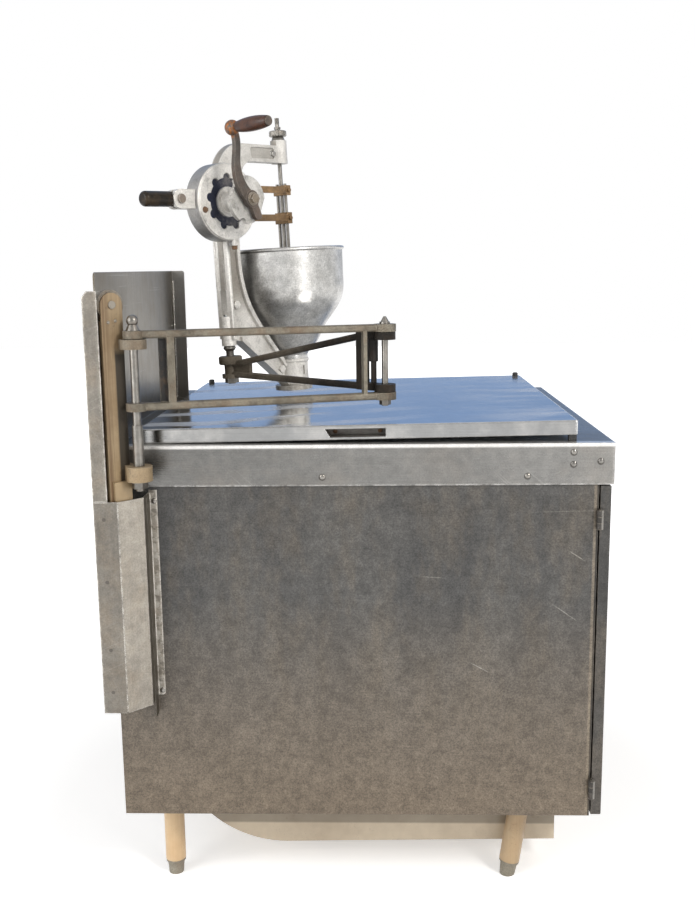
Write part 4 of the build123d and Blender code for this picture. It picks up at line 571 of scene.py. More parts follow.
def shaded_hopper_side(tree, place, colour):
    """Hopper carries painted shade in patches on its side towards the mast."""
    side = within(tree, component(tree, place, "X"), *hopper_side)
    patches = spread(tree, noise(tree, place, scale=34.0, detail=3.0), 0.3, 0.7, 0.72, 1.0)
    share = times(tree, times(tree, side, patches), 0.44)
    return brighter(tree, colour, maths(tree, "SUBTRACT", 1.0, share))


def splash_reflection_and_light(tree, place, colour):
    """Splash sheet carries a painted dark reflection before its far corner, and painted light on its
    return.
    """
    along = component(tree, place, "Y")
    colour = blend(tree, spread(tree, along, *splash_return), colour, (0.285, 0.275, 0.258))
    reflected_dark = within(tree, along, *splash_dark_reflection)
    return paint_over(tree, colour, reflected_dark, share=0.5, paint=(0.085, 0.078, 0.068))


def toned(axis, ramp):
    """Shade that makes a piece brighter or darker along one axis."""
    return lambda tree, place, colour: brighter(tree, colour, slope(tree, place, axis, *ramp))


def painted(axis, ramp, share, paint):
    """Shade that paints a piece over along one axis, up to a share."""
    return lambda tree, place, colour: paint_over(
        tree, colour, slope(tree, place, axis, *ramp), share=share, paint=paint)


# Hinge knuckles paler towards the door, and painted shade on the lid's near flange
pale_knuckle = painted("X", ramp=(0.4445, 0.4465), share=0.8, paint=(0.30, 0.285, 0.26))
shaded_flange = painted("Y", ramp=(-0.3755, -0.3765), share=0.75, paint=(0.200, 0.197, 0.190))

# Painted shadow on the drain pan's rim with painted light below, and painted shade on the legs under the
# door only
pan_rim_shadow = toned("Z", ramp=(0.0925, 0.0885, 0.66, 1.30))
shaded_legs_under_door = toned("X", ramp=(-0.1, 0.1, 1.0, 0.68))

# Bare steel rivets in the post's head, ochre paint on the carriage's lower eye, painted shade black at the
# elbow
bare_rivets = painted("Z", ramp=(1.05, 1.08), share=1.0, paint=(0.30, 0.27, 0.225))
ochre_low = painted("Z", ramp=(0.93, 0.89), share=0.85, paint=(0.34, 0.25, 0.145))
shaded_elbow = painted("X", ramp=(-0.20, -0.06), share=0.95, paint=(0.010, 0.009, 0.008))


def dark_post_edge(tree, place, colour):
    """Post is streaked brown with painted shade towards its narrow edge, and painted black shade where the
    carriage slides.
    """
    local = own_frame(tree, place, mast_place, (0.0, 0.0, mast_turn))
    across = component(tree, local, "X")
    lines = vector_maths(tree, "MULTIPLY", local, (260.0, 260.0, 2.5))
    streaks = spread(tree, noise(tree, lines, scale=1.0), 0.36, 0.56)
    brown = times(tree, spread(tree, across, *post_streaks_and_shade), streaks)
    colour = paint_over(tree, colour, brown, share=0.85, paint=(0.13, 0.075, 0.036))
    # Painted shade where the carriage slides
    slide = times(tree, spread(tree, across, *post_slide), slope(tree, place, "Z", *slide_top))
    return paint_over(tree, colour, slide, share=0.92, paint=(0.022, 0.019, 0.015))


def shadowed_web(tree, place, colour):
    """Painted black shade on the web behind the first upright of the inner arm."""
    along = component(tree, own_frame(tree, place, rod_place, (0.0, 0.0, inner_arm_turn)), "X")
    between = within(tree, component(tree, place, "Z"), *arm_web_height)
    web = times(tree, within(tree, along, *arm_web), between)
    return blend(tree, web, colour, (0.012, 0.011, 0.010))


def dark_recess(tree, place, colour):
    """Painted navy shade on the cover's floor between its scalloped ring and its hub, and painted shade on
    its side.
    """
    local = in_depositor(tree, place)
    flat = vector_maths(tree, "MULTIPLY", local, (1.0, 0.0, 1.0))
    radius = vector_maths(tree, "DISTANCE", flat, (drum_a, 0.0, drum_z))
    across = component(tree, local, "Y")
    floor = times(tree, within(tree, radius, *recess_ring), within(tree, across, *recess_floor))
    colour = blend(tree, floor, colour, (0.010, 0.014, 0.034))
    rim = times(tree, spread(tree, radius, *drum_rim), spread(tree, across, *drum_side))
    return paint_over(tree, colour, rim, share=0.8, paint=(0.20, 0.20, 0.205))


def lit_column(tree, place, colour):
    """Painted light on the back of the column, painted shade on its web, and the gooseneck painted a little
    darker as shade.
    """
    local = in_depositor(tree, place)
    up, out = component(tree, local, "Z"), maths(tree, "ABSOLUTE", component(tree, local, "Y"))
    back = slope(tree, local, "X", *column_back)
    colour = paint_over(tree, colour, back, share=0.9, paint=(0.93, 0.90, 0.85))
    web = times(tree, spread(tree, out, *column_web), spread(tree, up, *web_start))
    colour = paint_over(tree, colour, web, share=0.85, paint=(0.25, 0.225, 0.19))
    return brighter(tree, colour, spread(tree, up, *gooseneck_tone))


def grimy_flange(tree, place, colour):
    """Thick lower flange of the barrel is stained by batter."""
    flange = slope(tree, in_depositor(tree, place), "Z", *barrel_flange)
    stain = times(tree, flange, spread(tree, noise(tree, place, scale=60.0), 0.3, 0.55))
    return paint_over(tree, colour, stain, share=0.75, paint=(0.17, 0.145, 0.11))


def brown_bolt(tree, place, colour):
    """Bolt and washer that hold the crank are brown steel, unlike the cast hub behind them."""
    bolt = slope(tree, in_depositor(tree, place), "Y", *crank_bolt)
    return blend(tree, bolt, colour, (0.20, 0.155, 0.105))


def dust_and_reflection_streaks(tree, place):
    """Mask of dust on the lid that is also a pale painted reflection: broken streaks at its rear end and a
    smear at the front.
    """
    slant = add(tree, "Mapping", Vector=place, Rotation=(0.0, 0.0, math.radians(-16)))
    wave = add(tree, "TexWave", Vector=slant.outputs[0], Scale=2.5, Distortion=5.5, Detail=2.0,
               Detail_Scale=0.8)
    wave.bands_direction = "Y"
    bands = spread(tree, wave.outputs["Fac"], 0.50, 0.82)
    broken = spread(tree, noise(tree, place, scale=5.5, detail=2.0), 0.36, 0.52)
    streaks = times(tree, times(tree, bands, broken), slope(tree, place, "X", *lid_rear))
    rubbed = vector_maths(tree, "MULTIPLY", place, (6.0, 15.0, 6.0))
    patches = spread(tree, noise(tree, rubbed, scale=1.0, detail=3.0), 0.42, 0.62)
    smear = times(tree, patches, slope(tree, place, "X", *lid_front))
    dust_and_reflection = maths(tree, "MAXIMUM", streaks, smear)
    return times(tree, dust_and_reflection, slope(tree, place, "Y", *lid_top))


def rusty_ball(tree, place, colour):
    """Crank arm carries orange rust on its ball."""
    ball = spot(tree, in_depositor(tree, place), crank_ball, crank_ball_reach)
    patches = spread(tree, noise(tree, place, scale=130.0, detail=3.0), 0.38, 0.58)
    return blend(tree, times(tree, ball, patches), colour, (0.30, 0.11, 0.03))


def rusty_clevis_bolt(tree, place, colour):
    """Clevis bolt of the push handle is rusty."""
    head = spot(tree, in_depositor(tree, place), clevis_bolt, clevis_bolt_reach)
    return paint_over(tree, colour, head, share=0.85, paint=(0.13, 0.085, 0.05))


# Grain of the sheets, and colours and roughness that several finishes share
along_x, along_z = (6.0, 260.0, 420.0), (420.0, 260.0, 6.0)
rust = (0.17, 0.075, 0.03)
tan_stain = (0.24, 0.17, 0.10)
bare_iron = (0.42, 0.38, 0.31)
brown_primer = (0.10, 0.07, 0.045)
oily_grime = (0.035, 0.03, 0.025)
cast_dark, cast_light, cast_grey = (0.60, 0.58, 0.54), (0.80, 0.775, 0.73), (0.34, 0.31, 0.27)
cast_edge = (0.92, 0.90, 0.86)
cast_rough, cover_rough = (0.30, 0.48), (0.28, 0.46)

# Finish of each material slot
finishes = {
    "panel_steel": sheet_metal(
        "etched_panel", (0.060, 0.060, 0.060), (0.122, 0.117, 0.109), (0.156, 0.128, 0.095), 0.38, along_x,
        rough=(0.40, 0.56), metallic=0.45, patch_scale=3.4, pepper=0.45, mottle=0.2, speck_share=0.5,
        scratch_share=0.05, scratch_colour=(0.36, 0.33, 0.29), edge_colour=(0.40, 0.36, 0.30),
        cloud_stretch=(2.1, 1.0, 0.75), shade=panel_marks),
    # The counter's near-white rubbed edges are wear and also a painted highlight along its bent edges
    "counter_steel": sheet_metal(
        "brushed_counter", (0.155, 0.152, 0.145), (0.211, 0.207, 0.197), tan_stain, 0.10, along_x,
        rough=(0.24, 0.40), patch_scale=4.5, pepper=0.16, mottle=0.10, scratch_share=0.3,
        edge=5.0 * mm, edge_colour=(0.95, 0.93, 0.90), edge_share=0.9, shade=apron_grime_shade_and_highlight),
    "lid_steel": sheet_metal(
        "bright_lid", (0.50, 0.51, 0.52), (0.62, 0.63, 0.64), (0.60, 0.58, 0.55), 0.5, along_x,
        rough=(0.015, 0.08), metallic=1.0, patch_scale=3.4, pepper=0.03, scratch_share=0.12,
        speck_share=0.06, edge=3.0 * mm, edge_colour=(0.90, 0.89, 0.87), wave=1.1 * mm, film=dust_and_reflection_streaks,
        shade=shaded_flange),
    "splash_steel": sheet_metal(
        "dull_splash", (0.105, 0.090, 0.066), (0.162, 0.139, 0.103), tan_stain, 0.2, along_z,
        rough=(0.26, 0.42), metallic=0.7, patch_scale=4.5, pepper=0.06, scratch_share=0.15,
        shade=splash_reflection_and_light),
    "kettle_steel": sheet_metal(
        "kettle_plate", (0.20, 0.18, 0.15), (0.38, 0.35, 0.31), (0.13, 0.07, 0.03), 0.55, along_x),
    "inner_steel": sheet_metal("mill_sheet", (0.22, 0.21, 0.20), (0.36, 0.35, 0.33), rust, 0.3, along_x),
    "guard_zinc": sheet_metal(
        "galvanised_guard", (0.228, 0.206, 0.176), (0.322, 0.296, 0.255), tan_stain, 0.22, along_z,
        rough=(0.34, 0.5), metallic=0.6, patch_scale=9.0, pepper=0.2, mottle=0.14, speck_share=0.4,
        edge=3.5 * mm, edge_colour=(0.92, 0.88, 0.81), edge_share=0.95, scratch_share=0.1,
        shade=shaded_guard_face, grime=guard_shade_and_spots),
    "screw_steel": turned_metal("plated_screw", (0.30, 0.29, 0.27), (0.50, 0.49, 0.47), rust, 0.4),
    "frame_paint": enamel("frame_paint", (0.06, 0.058, 0.055), (0.11, 0.105, 0.10), rust, 0.7),
    "post_steel": enamel(
        "ochre_post", (0.29, 0.20, 0.11), (0.43, 0.325, 0.19), brown_primer, 0.45, metallic=0.2,
        rough=(0.45, 0.62), patch_scale=13.0, streak=(0.13, 0.085, 0.05), streak_share=0.6, edge_share=0.3,
        shade=dark_post_edge),
    "arm_iron": cast_metal(
        "rusty_iron", (0.13, 0.113, 0.09), (0.27, 0.245, 0.205), (0.15, 0.085, 0.045), 0.45, metallic=0.45,
        rough=(0.42, 0.62), grime=oily_grime, grime_share=0.55, edge_colour=bare_iron),
    "weight_iron": cast_metal(
        "weight_iron", (0.09, 0.085, 0.08), (0.16, 0.15, 0.14), rust, 0.5, metallic=0.4),
    "pipe_iron": cast_metal(
        "black_pipe", (0.06, 0.058, 0.055), (0.11, 0.105, 0.10), rust, 0.35, metallic=0.4),
    "casting": cast_metal(
        "cast_aluminium", cast_dark, cast_light, cast_grey, 0.3, metallic=0.22, rough=cast_rough,
        grime_share=0.35, edge_colour=cast_edge),
    "spun_aluminium": sheet_metal(
        "spun_hopper", (0.42, 0.415, 0.40), (0.60, 0.59, 0.572), (0.30, 0.27, 0.22), 0.18,
        (40.0, 40.0, 500.0), rough=(0.28, 0.42), patch_scale=11.0, pepper=0.3, mottle=0.2,
        scratch_share=0.1, speck_share=0.2, dent=0.22 * mm, shade=shaded_hopper_side),
    "bronze": cast_metal(
        "dull_bronze", (0.145, 0.085, 0.037), (0.29, 0.178, 0.082), (0.06, 0.045, 0.035), 0.5, metallic=0.6,
        edge_colour=(0.42, 0.29, 0.16)),
    "valve_brass": cast_metal(
        "valve_brass", (0.36, 0.25, 0.09), (0.55, 0.41, 0.18), (0.14, 0.10, 0.05), 0.4, metallic=0.9),
    "rod_steel": turned_metal(
        "turned_rod", (0.15, 0.142, 0.128), (0.26, 0.247, 0.225), rust, 0.15, rough=(0.26, 0.42)),
    "cable_steel": turned_metal("wire_rope", (0.16, 0.155, 0.145), (0.30, 0.29, 0.27), rust, 0.3),
    "leg_paint": enamel(
        "cream_leg", (0.69, 0.465, 0.255), (0.82, 0.61, 0.37), (0.24, 0.15, 0.08), 0.45,
        streak=(0.45, 0.29, 0.15), streak_share=0.3, shade=shaded_legs_under_door),
    "pan_paint": enamel(
        "cream_pan", (0.425, 0.345, 0.25), (0.575, 0.485, 0.365), (0.17, 0.11, 0.06), 0.35, patch_scale=7.0,
        shade=pan_rim_shadow),
    "foot_metal": cast_metal(
        "grey_foot", (0.22, 0.198, 0.152), (0.335, 0.303, 0.24), rust, 0.25, metallic=0.4, grime_share=0.5),
    "knob_plastic": moulded("black_knob", (0.012, 0.012, 0.012), (0.035, 0.034, 0.032)),
    "rubber": moulded("black_rubber", (0.014, 0.014, 0.014), (0.05, 0.048, 0.045), rough=(0.6, 0.85)),
    "lever_vinyl": moulded("red_lever", (0.22, 0.015, 0.01), (0.33, 0.03, 0.02)),
    "handle_dark": turned_wood(
        "dark_handle", (0.005, 0.0035, 0.0025), (0.022, 0.015, 0.009), (0.09, 0.06, 0.03), 0.35,
        gloss=0.22),
    "grip_wood": turned_wood(
        "oiled_wood", (0.018, 0.008, 0.005), (0.07, 0.026, 0.016), (0.15, 0.06, 0.03), 0.4, gloss=0.35),
}

# Pieces whose finish differs from the rest of their slot
own_finishes = {
    "jamb_hinge_leaves": cast_metal(
        "jamb_hinge", (0.03, 0.027, 0.024), (0.09, 0.083, 0.075), rust, 0.3, metallic=0.5,
        edge_colour=bare_iron, shade=pale_knuckle),
    "door_hinge_leaves": cast_metal(
        "dark_hinge", (0.02, 0.018, 0.016), (0.06, 0.055, 0.05), rust, 0.3, metallic=0.5,
        edge_colour=bare_iron, shade=pale_knuckle),
    "post_fixings": enamel(
        "post_fixing", (0.27, 0.185, 0.10), (0.40, 0.30, 0.175), brown_primer, 0.4, metallic=0.25,
        rough=(0.35, 0.55), patch_scale=13.0, shade=bare_rivets),
    "inner_arm": cast_metal(
        "worn_arm", (0.105, 0.090, 0.066), (0.235, 0.210, 0.163), (0.14, 0.08, 0.04), 0.5, metallic=0.45,
        rough=(0.42, 0.62), grime=oily_grime, grime_share=0.55, edge_colour=bare_iron, shade=shadowed_web),
    "carriage": cast_metal(
        "ochre_carriage", (0.15, 0.125, 0.09), (0.28, 0.24, 0.18), (0.17, 0.10, 0.05), 0.4, metallic=0.3,
        rough=(0.45, 0.62), edge_colour=bare_iron, shade=ochre_low),
    "outer_arm": cast_metal(
        "black_forearm", (0.11, 0.093, 0.07), (0.22, 0.19, 0.15), (0.13, 0.075, 0.04), 0.15, metallic=0.1,
        rough=(0.40, 0.60), edge_colour=(0.22, 0.19, 0.15), edge_share=0.15, gloss=0.12,
        shade=shaded_elbow),
    "elbow_lock": cast_metal(
        "black_lock", (0.012, 0.012, 0.012), (0.04, 0.038, 0.035), rust, 0.12, metallic=0.1,
        rough=(0.4, 0.6), gloss=0.15),
    "crank_arm": cast_metal(
        "brown_crank", (0.05, 0.042, 0.036), (0.135, 0.115, 0.098), rust, 0.3, metallic=0.5,
        rough=(0.34, 0.55), edge_colour=(0.30, 0.26, 0.22), shade=rusty_ball),
    "cam_housing": cast_metal(
        "cast_cover", cast_dark, cast_light, cast_grey, 0.4, metallic=0.5, rough=cover_rough,
        grime_share=0.45, edge_colour=(0.88, 0.86, 0.82), shade=dark_recess),
    "depositor_frame": cast_metal(
        "cast_frame", cast_dark, cast_light, cast_grey, 0.3, metallic=0.22, rough=cast_rough,
        grime_share=0.35, edge_colour=cast_edge, shade=lit_column),
    "barrel": cast_metal(
        "cast_barrel", cast_dark, cast_light, cast_grey, 0.35, metallic=0.3, rough=cover_rough,
        grime_share=0.35, edge_colour=cast_edge, shade=grimy_flange),
    # The hub is darker and grimier than the other castings: grime with painted shade
    "crank_shaft": cast_metal(
        "cast_hub", (0.46, 0.445, 0.415), (0.68, 0.66, 0.62), cast_grey, 0.45, metallic=0.4,
        rough=cast_rough, grime_share=0.6, edge_colour=(0.85, 0.83, 0.79), shade=brown_bolt),
    "handle_bracket": cast_metal(
        "cast_clevis", cast_dark, cast_light, cast_grey, 0.3, metallic=0.5, rough=cover_rough,
        edge_colour=(0.90, 0.88, 0.84), shade=rusty_clevis_bolt),
}

# Finishes of the small fittings
rusty_screw = cast_metal(
    "rusty_screw", (0.11, 0.062, 0.032), (0.24, 0.135, 0.068), rust, 0.6, metallic=0.3, pit_scale=900.0)
pocket_shade = cast_metal(
    "pocket_steel", (0.12, 0.112, 0.102), (0.20, 0.188, 0.17), rust, 0.15, metallic=0.3, pit_depth=0.1 * mm)
dome_steel = turned_metal(
    "dome_screw", (0.16, 0.152, 0.14), (0.30, 0.288, 0.268), tan_stain, 0.2, rough=(0.16, 0.28))
weld_metal = turned_metal(
    "weld_metal", (0.44, 0.42, 0.38), (0.66, 0.63, 0.58), tan_stain, 0.3, rough=(0.25, 0.4),
    ring=(200.0, 200.0, 260.0))

for entry in frame["record"]["subparts"]:
    mesh = nodes[entry["node"]].data
    mesh.materials.clear()
    mesh.materials.append(own_finishes.get(entry["node"], finishes[entry["material_slot"]]))

# Angle from which an edge is sharp, a right angle, and a six-sided head's corner radius over its width
sharp_angle = math.radians(38)
quarter_turn = math.radians(90)
hexagon_corner = 0.577


def fitting(name, shape, place, body, slot, material=None):
    """Finished small piece: put in place, normals outward, smooth between sharp edges, riding on a body."""
    bmesh.ops.transform(shape, matrix=place, verts=shape.verts[:])
    bmesh.ops.recalc_face_normals(shape, faces=shape.faces[:])
    mesh = bpy.data.meshes.new(name)
    shape.to_mesh(mesh)
    shape.free()
    mesh.shade_smooth()
    mesh.set_sharp_from_angle(angle=sharp_angle)
    mesh.materials.append(material or finishes[slot])
    piece = bpy.data.objects.new(name, mesh)
    bpy.context.scene.collection.objects.link(piece)
    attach(piece, body)
    return piece


def thread(radius, ridge, pitch, turns, steps=28):
    """Raised screw thread about the Z axis, starting at zero height."""
    shape = bmesh.new()
    root = radius - ridge * 0.3
    profile = ((root, 0.0), (radius + ridge, pitch * 0.5), (root, pitch * 0.96))
    corners = [shape.verts.new((r, 0.0, z)) for r, z in profile]
    section = shape.faces.new(corners)
    bmesh.ops.spin(shape, geom=[section] + list(section.edges) + corners, cent=(0, 0, 0), axis=(0, 0, 1),
                   dvec=(0, 0, pitch / steps), angle=math.tau * turns, steps=int(steps * turns),
                   use_merge=False)
    return shape


def bolt_head(across, high, washer):
    """Six-sided head on a round washer about the XY plane, with both top edges rounded off."""
    shape = bmesh.new()
    corner = across * hexagon_corner
    head = bmesh.ops.create_cone(shape, cap_ends=True, segments=6, radius1=corner, radius2=corner,
                                 depth=high)
    bmesh.ops.translate(shape, verts=head["verts"], vec=(0, 0, high / 2))
    top = [e for e in shape.edges if all(v.co.z > high * 0.9 for v in e.verts)]
    bmesh.ops.bevel(shape, geom=top, offset=high * 0.22, affect="EDGES", segments=3, profile=0.5,
                    material=-1)
    ring = bmesh.ops.create_cone(shape, cap_ends=True, segments=28, radius1=washer, radius2=washer,
                                 depth=high * 0.3)
    edges = dict.fromkeys(e for v in ring["verts"] for e in v.link_edges)
    rim = [e for e in edges if all(v.co.z > 0 for v in e.verts)]
    bmesh.ops.bevel(shape, geom=rim, offset=high * 0.1, affect="EDGES", segments=2, profile=0.5,
                    material=-1)
    return shape


def pan_head(radius, high):
    """Low domed screw head standing on the XY plane."""
    shape = bmesh.new()
    bmesh.ops.create_uvsphere(shape, u_segments=24, v_segments=12, radius=radius)
    bmesh.ops.bisect_plane(shape, geom=shape.verts[:] + shape.edges[:] + shape.faces[:], plane_co=(0, 0, 0),
                           plane_no=(0, 0, 1), clear_inner=True)
    bmesh.ops.contextual_create(shape, geom=[e for e in shape.edges if e.is_boundary])
    bmesh.ops.scale(shape, vec=(1.0, 1.0, high / radius), verts=shape.verts[:])
    return shape


def screw_domes(radius, high):
    """All dome heads of the apron, near and far, and of the guard's strip, as one piece."""
    shape = bmesh.new()
    rows = [(x, apron_near, z, quarter_turn) for x, z in apron_screws]
    rows += [(x, apron_far, z, -quarter_turn) for x, z in apron_screws]
    rows += [(x, strip_face, z, quarter_turn) for x, z in strip_screws]
    for x, y, z, turn in rows:
        head = pan_head(radius, high)
        head_at = Matrix.Translation((x, y, z)) @ Matrix.Rotation(turn, 4, "X")
        bmesh.ops.transform(head, verts=head.verts[:], matrix=head_at)
        part = bpy.data.meshes.new("screw_dome")
        head.to_mesh(part)
        head.free()
        shape.from_mesh(part)
        bpy.data.meshes.remove(part)
    return shape


def weld_bead(radius, length, pitch, swell=1.22):
    """Rippled bead along the Z axis."""
    shape = bmesh.new()
    ring = bmesh.ops.create_circle(shape, cap_ends=True, segments=10, radius=radius)
    face = ring["verts"][0].link_faces[0]
    for step in range(int(length / pitch) * 2):
        out = bmesh.ops.extrude_face_region(shape, geom=[face])
        face = next(g for g in out["geom"] if isinstance(g, bmesh.types.BMFace))
        bmesh.ops.translate(shape, verts=face.verts[:], vec=(0, 0, pitch / 2))
        ripple = swell if step % 2 == 0 else 1 / swell
        about = Matrix.Translation(-face.calc_center_median())
        bmesh.ops.scale(shape, vec=(ripple, ripple, 1.0), verts=face.verts[:], space=about)
    return shape


def pocket_shade_sheet(half, slant, low, high, deep, thick):
    """Dark sheet of painted shade in the lid's finger pocket, open at the front and slanted at its rear
    end.
    """
    shape = bmesh.new()
    middle = (high + low) / 2
    bmesh.ops.create_cube(shape, size=1.0)
    bmesh.ops.scale(shape, vec=(2 * half, deep, high - low), verts=shape.verts[:])
    bmesh.ops.translate(shape, vec=(0, deep / 2, middle), verts=shape.verts[:])
    for vert in shape.verts:
        if vert.co.x < 0 and vert.co.z < middle:
            vert.co.x += slant
    front = [f for f in shape.faces if all(v.co.y < deep * 0.1 for v in f.verts)]
    bmesh.ops.delete(shape, geom=front, context="FACES_ONLY")
    bmesh.ops.recalc_face_normals(shape, faces=shape.faces[:])
    bmesh.ops.solidify(shape, geom=shape.faces[:], thickness=thick)
    return shape


def crank_side(along, out, up):
    """Place on the depositor for a head that looks out along the crank's axis."""
    return depositor_at @ Matrix.Translation((along, -out, up)) @ Matrix.Rotation(quarter_turn, 4, "X")


def small_fittings():
    """Threads, screws, the weld at the splash corner and a dark sheet of painted shade in the lid's pocket.
    """
    heads = screw_domes(radius=5.4 * mm, high=2.4 * mm)
    domes = fitting("screw_domes", heads, Matrix(), "cabinet", "screw_steel", dome_steel)
    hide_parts("sheet_screws")
    ridges = thread(radius=8.0 * mm, ridge=0.9 * mm, pitch=2.4 * mm, turns=4.4)
    ridges_at = spindle_at @ Matrix.Translation((0, 0, 11.3 * mm))
    fitting("spindle_thread", ridges, ridges_at, "outer_arm", "rod_steel")
    ridges = thread(radius=4.5 * mm, ridge=0.6 * mm, pitch=1.6 * mm, turns=7.5)
    ridges_at = depositor_at @ Matrix.Translation((plunger_a, 0, 498.6 * mm))
    fitting("plunger_thread", ridges, ridges_at, "plunger", "rod_steel")
    head = bolt_head(across=11 * mm, high=6 * mm, washer=8 * mm)
    head_at = crank_side(along=0.157, out=9 * mm, up=0.434)
    fitting("goose_set_screw", head, head_at, "depositor", "screw_steel")
    head = bolt_head(across=9 * mm, high=5 * mm, washer=6.5 * mm)
    head_at = crank_side(along=-0.079, out=48 * mm, up=0.312)
    fitting("cover_side_screw", head, head_at, "depositor", "screw_steel", rusty_screw)
    head = bolt_head(across=10 * mm, high=8 * mm, washer=7 * mm)
    lug_at = Matrix.Translation((drum_a + 0.014, -41 * mm, 0.240)) @ Matrix.Rotation(math.pi, 4, "X")
    fitting("cover_lug_screw", head, depositor_at @ lug_at, "depositor", "screw_steel", rusty_screw)
    bead = weld_bead(radius=2.0 * mm, length=0.290, pitch=4.0 * mm)
    bead_at = Matrix.Translation((-0.4645, 0.2955, 0.917))
    fitting("splash_weld", bead, bead_at, "cabinet", "splash_steel", weld_metal)
    pocket_at = lid_at @ Matrix.Translation((0.404, 1.7 * mm, 0))
    shade_sheet = pocket_shade_sheet(half=55.6 * mm, slant=9 * mm, low=4.4 * mm, high=19.6 * mm, deep=24 * mm,
                         thick=0.3 * mm)
    fitting("lid_pocket_shade_sheet", shade_sheet, pocket_at, "lid", "lid_steel", pocket_shade)
    for side, along in (("rear", -38 * mm), ("front", 46 * mm)):
        head = pan_head(radius=4.5 * mm, high=2.6 * mm)
        head_at = Matrix.Translation((along, 23.4 * mm, 12 * mm)) @ Matrix.Rotation(quarter_turn, 4, "X")
        fitting("lid_pocket_screw_" + side, head, pocket_at @ head_at, "lid", "screw_steel", rusty_screw)


# Studio: the floor's size and its glow away from the object, and the sky with its clouds in reflections
floor_half = 14.0
floor_glow = (0.7, 2.4, 0.42, 1.0)
sky_behind = (0.40, 0.78)
sky_above = (0.0, 0.10)
cloud_side = (0.06, -0.14)
cloud_share = (0.50, 0.62, 0.0, 0.2)
surround_light, surround_seen = 0.42, 1.0


def seen_by_eye(tree):
    """One for rays from the camera, from reflections and through glass, and nought for light."""
    path = tree.nodes.new("ShaderNodeLightPath")
    seen = maths(tree, "MAXIMUM", path.outputs["Is Camera Ray"], path.outputs["Is Glossy Ray"])
    return maths(tree, "MAXIMUM", seen, path.outputs["Is Transmission Ray"])


def studio_floor():
    """Pale floor that keeps the object's shadow and reads white in the picture and in reflections."""
    mesh = bpy.data.meshes.new("floor")
    shape = bmesh.new()
    bmesh.ops.create_grid(shape, x_segments=1, y_segments=1, size=floor_half)
    shape.to_mesh(mesh)
    shape.free()
    floor = bpy.data.objects.new("floor", mesh)
    bpy.context.scene.collection.objects.link(floor)
    material = bpy.data.materials.new("pale_floor")
    material.use_nodes = True
    tree = material.node_tree
    surface = next(n for n in tree.nodes if n.type == "BSDF_PRINCIPLED")
    surface.inputs["Roughness"].default_value = 0.9
    surface.inputs["Emission Color"].default_value = (1.0, 1.0, 1.0, 1.0)
    place = tree.nodes.new("ShaderNodeTexCoord").outputs["Object"]
    tone = noise(tree, place, scale=0.6, detail=2.0)
    tree.links.new(blend(tree, tone, (0.88, 0.88, 0.88), (0.90, 0.90, 0.90)), surface.inputs["Base Color"])
    away = spread(tree, vector_maths(tree, "DISTANCE", place, (0.0, 0.0, 0.0)), *floor_glow)
    tree.links.new(times(tree, seen_by_eye(tree), away), surface.inputs["Emission Strength"])
    mesh.materials.append(material)


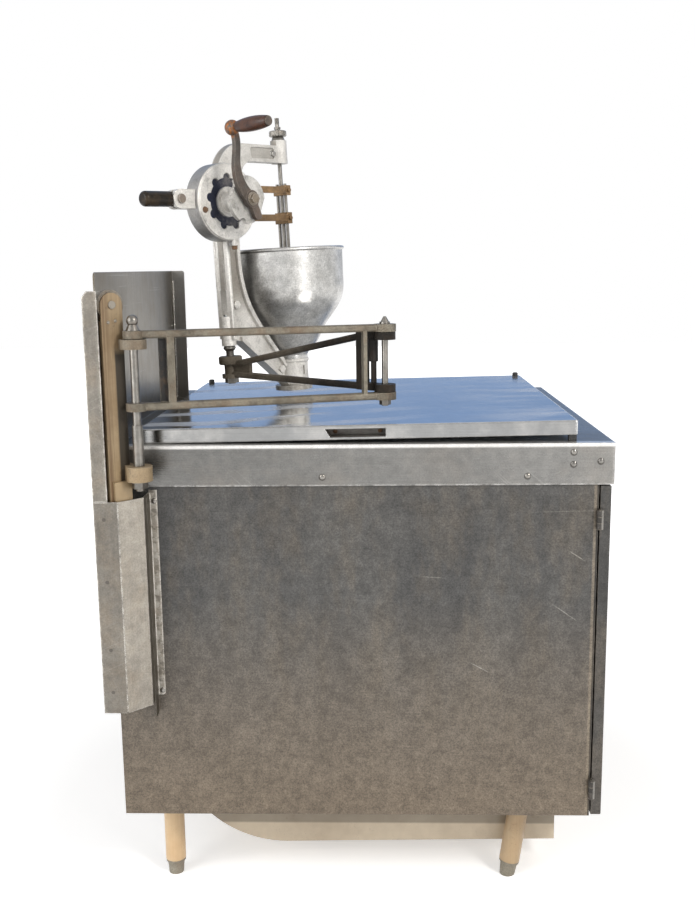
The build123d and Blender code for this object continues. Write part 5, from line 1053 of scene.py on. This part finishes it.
def studio_world():
    """White surround, softer as light, with a blue sky behind the object that only reflections show."""
    world = bpy.data.worlds.new("studio")
    bpy.context.scene.world = world
    world.use_nodes = True
    tree = world.node_tree
    back = next(n for n in tree.nodes if n.type == "BACKGROUND")
    direction = tree.nodes.new("ShaderNodeTexCoord").outputs["Generated"]
    mirrored = tree.nodes.new("ShaderNodeLightPath").outputs["Is Glossy Ray"]
    sky = times(tree, slope(tree, direction, "Y", *sky_behind), slope(tree, direction, "Z", *sky_above))
    slant = add(tree, "Mapping", Vector=direction, Rotation=(0.0, math.radians(5), 0.0))
    drawn = vector_maths(tree, "MULTIPLY", slant.outputs[0], (5.0, 2.0, 95.0))
    streaks = noise(tree, drawn, scale=1.0, detail=3.0)
    clouds = times(tree, spread(tree, streaks, *cloud_share), slope(tree, direction, "X", *cloud_side))
    blue = blend(tree, clouds, (0.26, 0.385, 0.625), (0.80, 0.84, 0.90))
    tree.links.new(blend(tree, times(tree, sky, mirrored), (1.0, 1.0, 1.0), blue), back.inputs["Color"])
    strength = spread(tree, seen_by_eye(tree), 0.0, 1.0, surround_light, surround_seen)
    tree.links.new(strength, back.inputs["Strength"])


def soft_box(name, place, target, size, watts, colour=(1.0, 1.0, 1.0)):
    """Large area lamp aimed at a point."""
    lamp = bpy.data.lights.new(name, "AREA")
    lamp.shape = "RECTANGLE"
    lamp.size, lamp.size_y = size
    lamp.energy = watts
    lamp.color = colour
    holder = bpy.data.objects.new(name, lamp)
    holder.location = place
    holder.rotation_euler = (Vector(target) - Vector(place)).to_track_quat("-Z", "Y").to_euler()
    holder.visible_camera = False
    bpy.context.scene.collection.objects.link(holder)


def photo_camera():
    """Camera at the photograph's place and angle."""
    yaw, pitch, roll = (math.radians(a) for a in (camera_yaw, camera_pitch, camera_roll))
    ahead = Vector((math.sin(yaw) * math.cos(pitch), math.cos(yaw) * math.cos(pitch), -math.sin(pitch)))
    level = Vector((math.cos(yaw), -math.sin(yaw), 0.0))
    upward = level.cross(ahead)
    right = level * math.cos(roll) + upward * math.sin(roll)
    top = upward * math.cos(roll) - level * math.sin(roll)
    camera = bpy.data.cameras.new("photo_camera")
    camera.sensor_fit = "VERTICAL"
    camera.sensor_height = 36.0
    camera.lens = camera.sensor_height * focal_pixels / image_height
    holder = bpy.data.objects.new("photo_camera", camera)
    turn = Matrix((right, top, -ahead)).transposed()
    holder.matrix_world = Matrix.Translation(camera_place) @ turn.to_4x4()
    bpy.context.scene.collection.objects.link(holder)
    bpy.context.scene.camera = holder


small_fittings()
studio_floor()
studio_world()
soft_box("key", place=(2.2, -2.5, 2.9), target=(0.0, 0.0, 0.9), size=(0.8, 0.8), watts=72,
         colour=(1.0, 0.97, 0.93))
soft_box("strip", place=(1.75, -2.45, 1.5), target=(-0.16, 0.09, 1.15), size=(0.3, 2.2), watts=11)
soft_box("fill", place=(-2.4, -1.9, 1.8), target=(-0.2, 0.0, 1.1), size=(2.2, 2.2), watts=60)
photo_camera()

bpy.context.scene.view_settings.view_transform = "Standard"
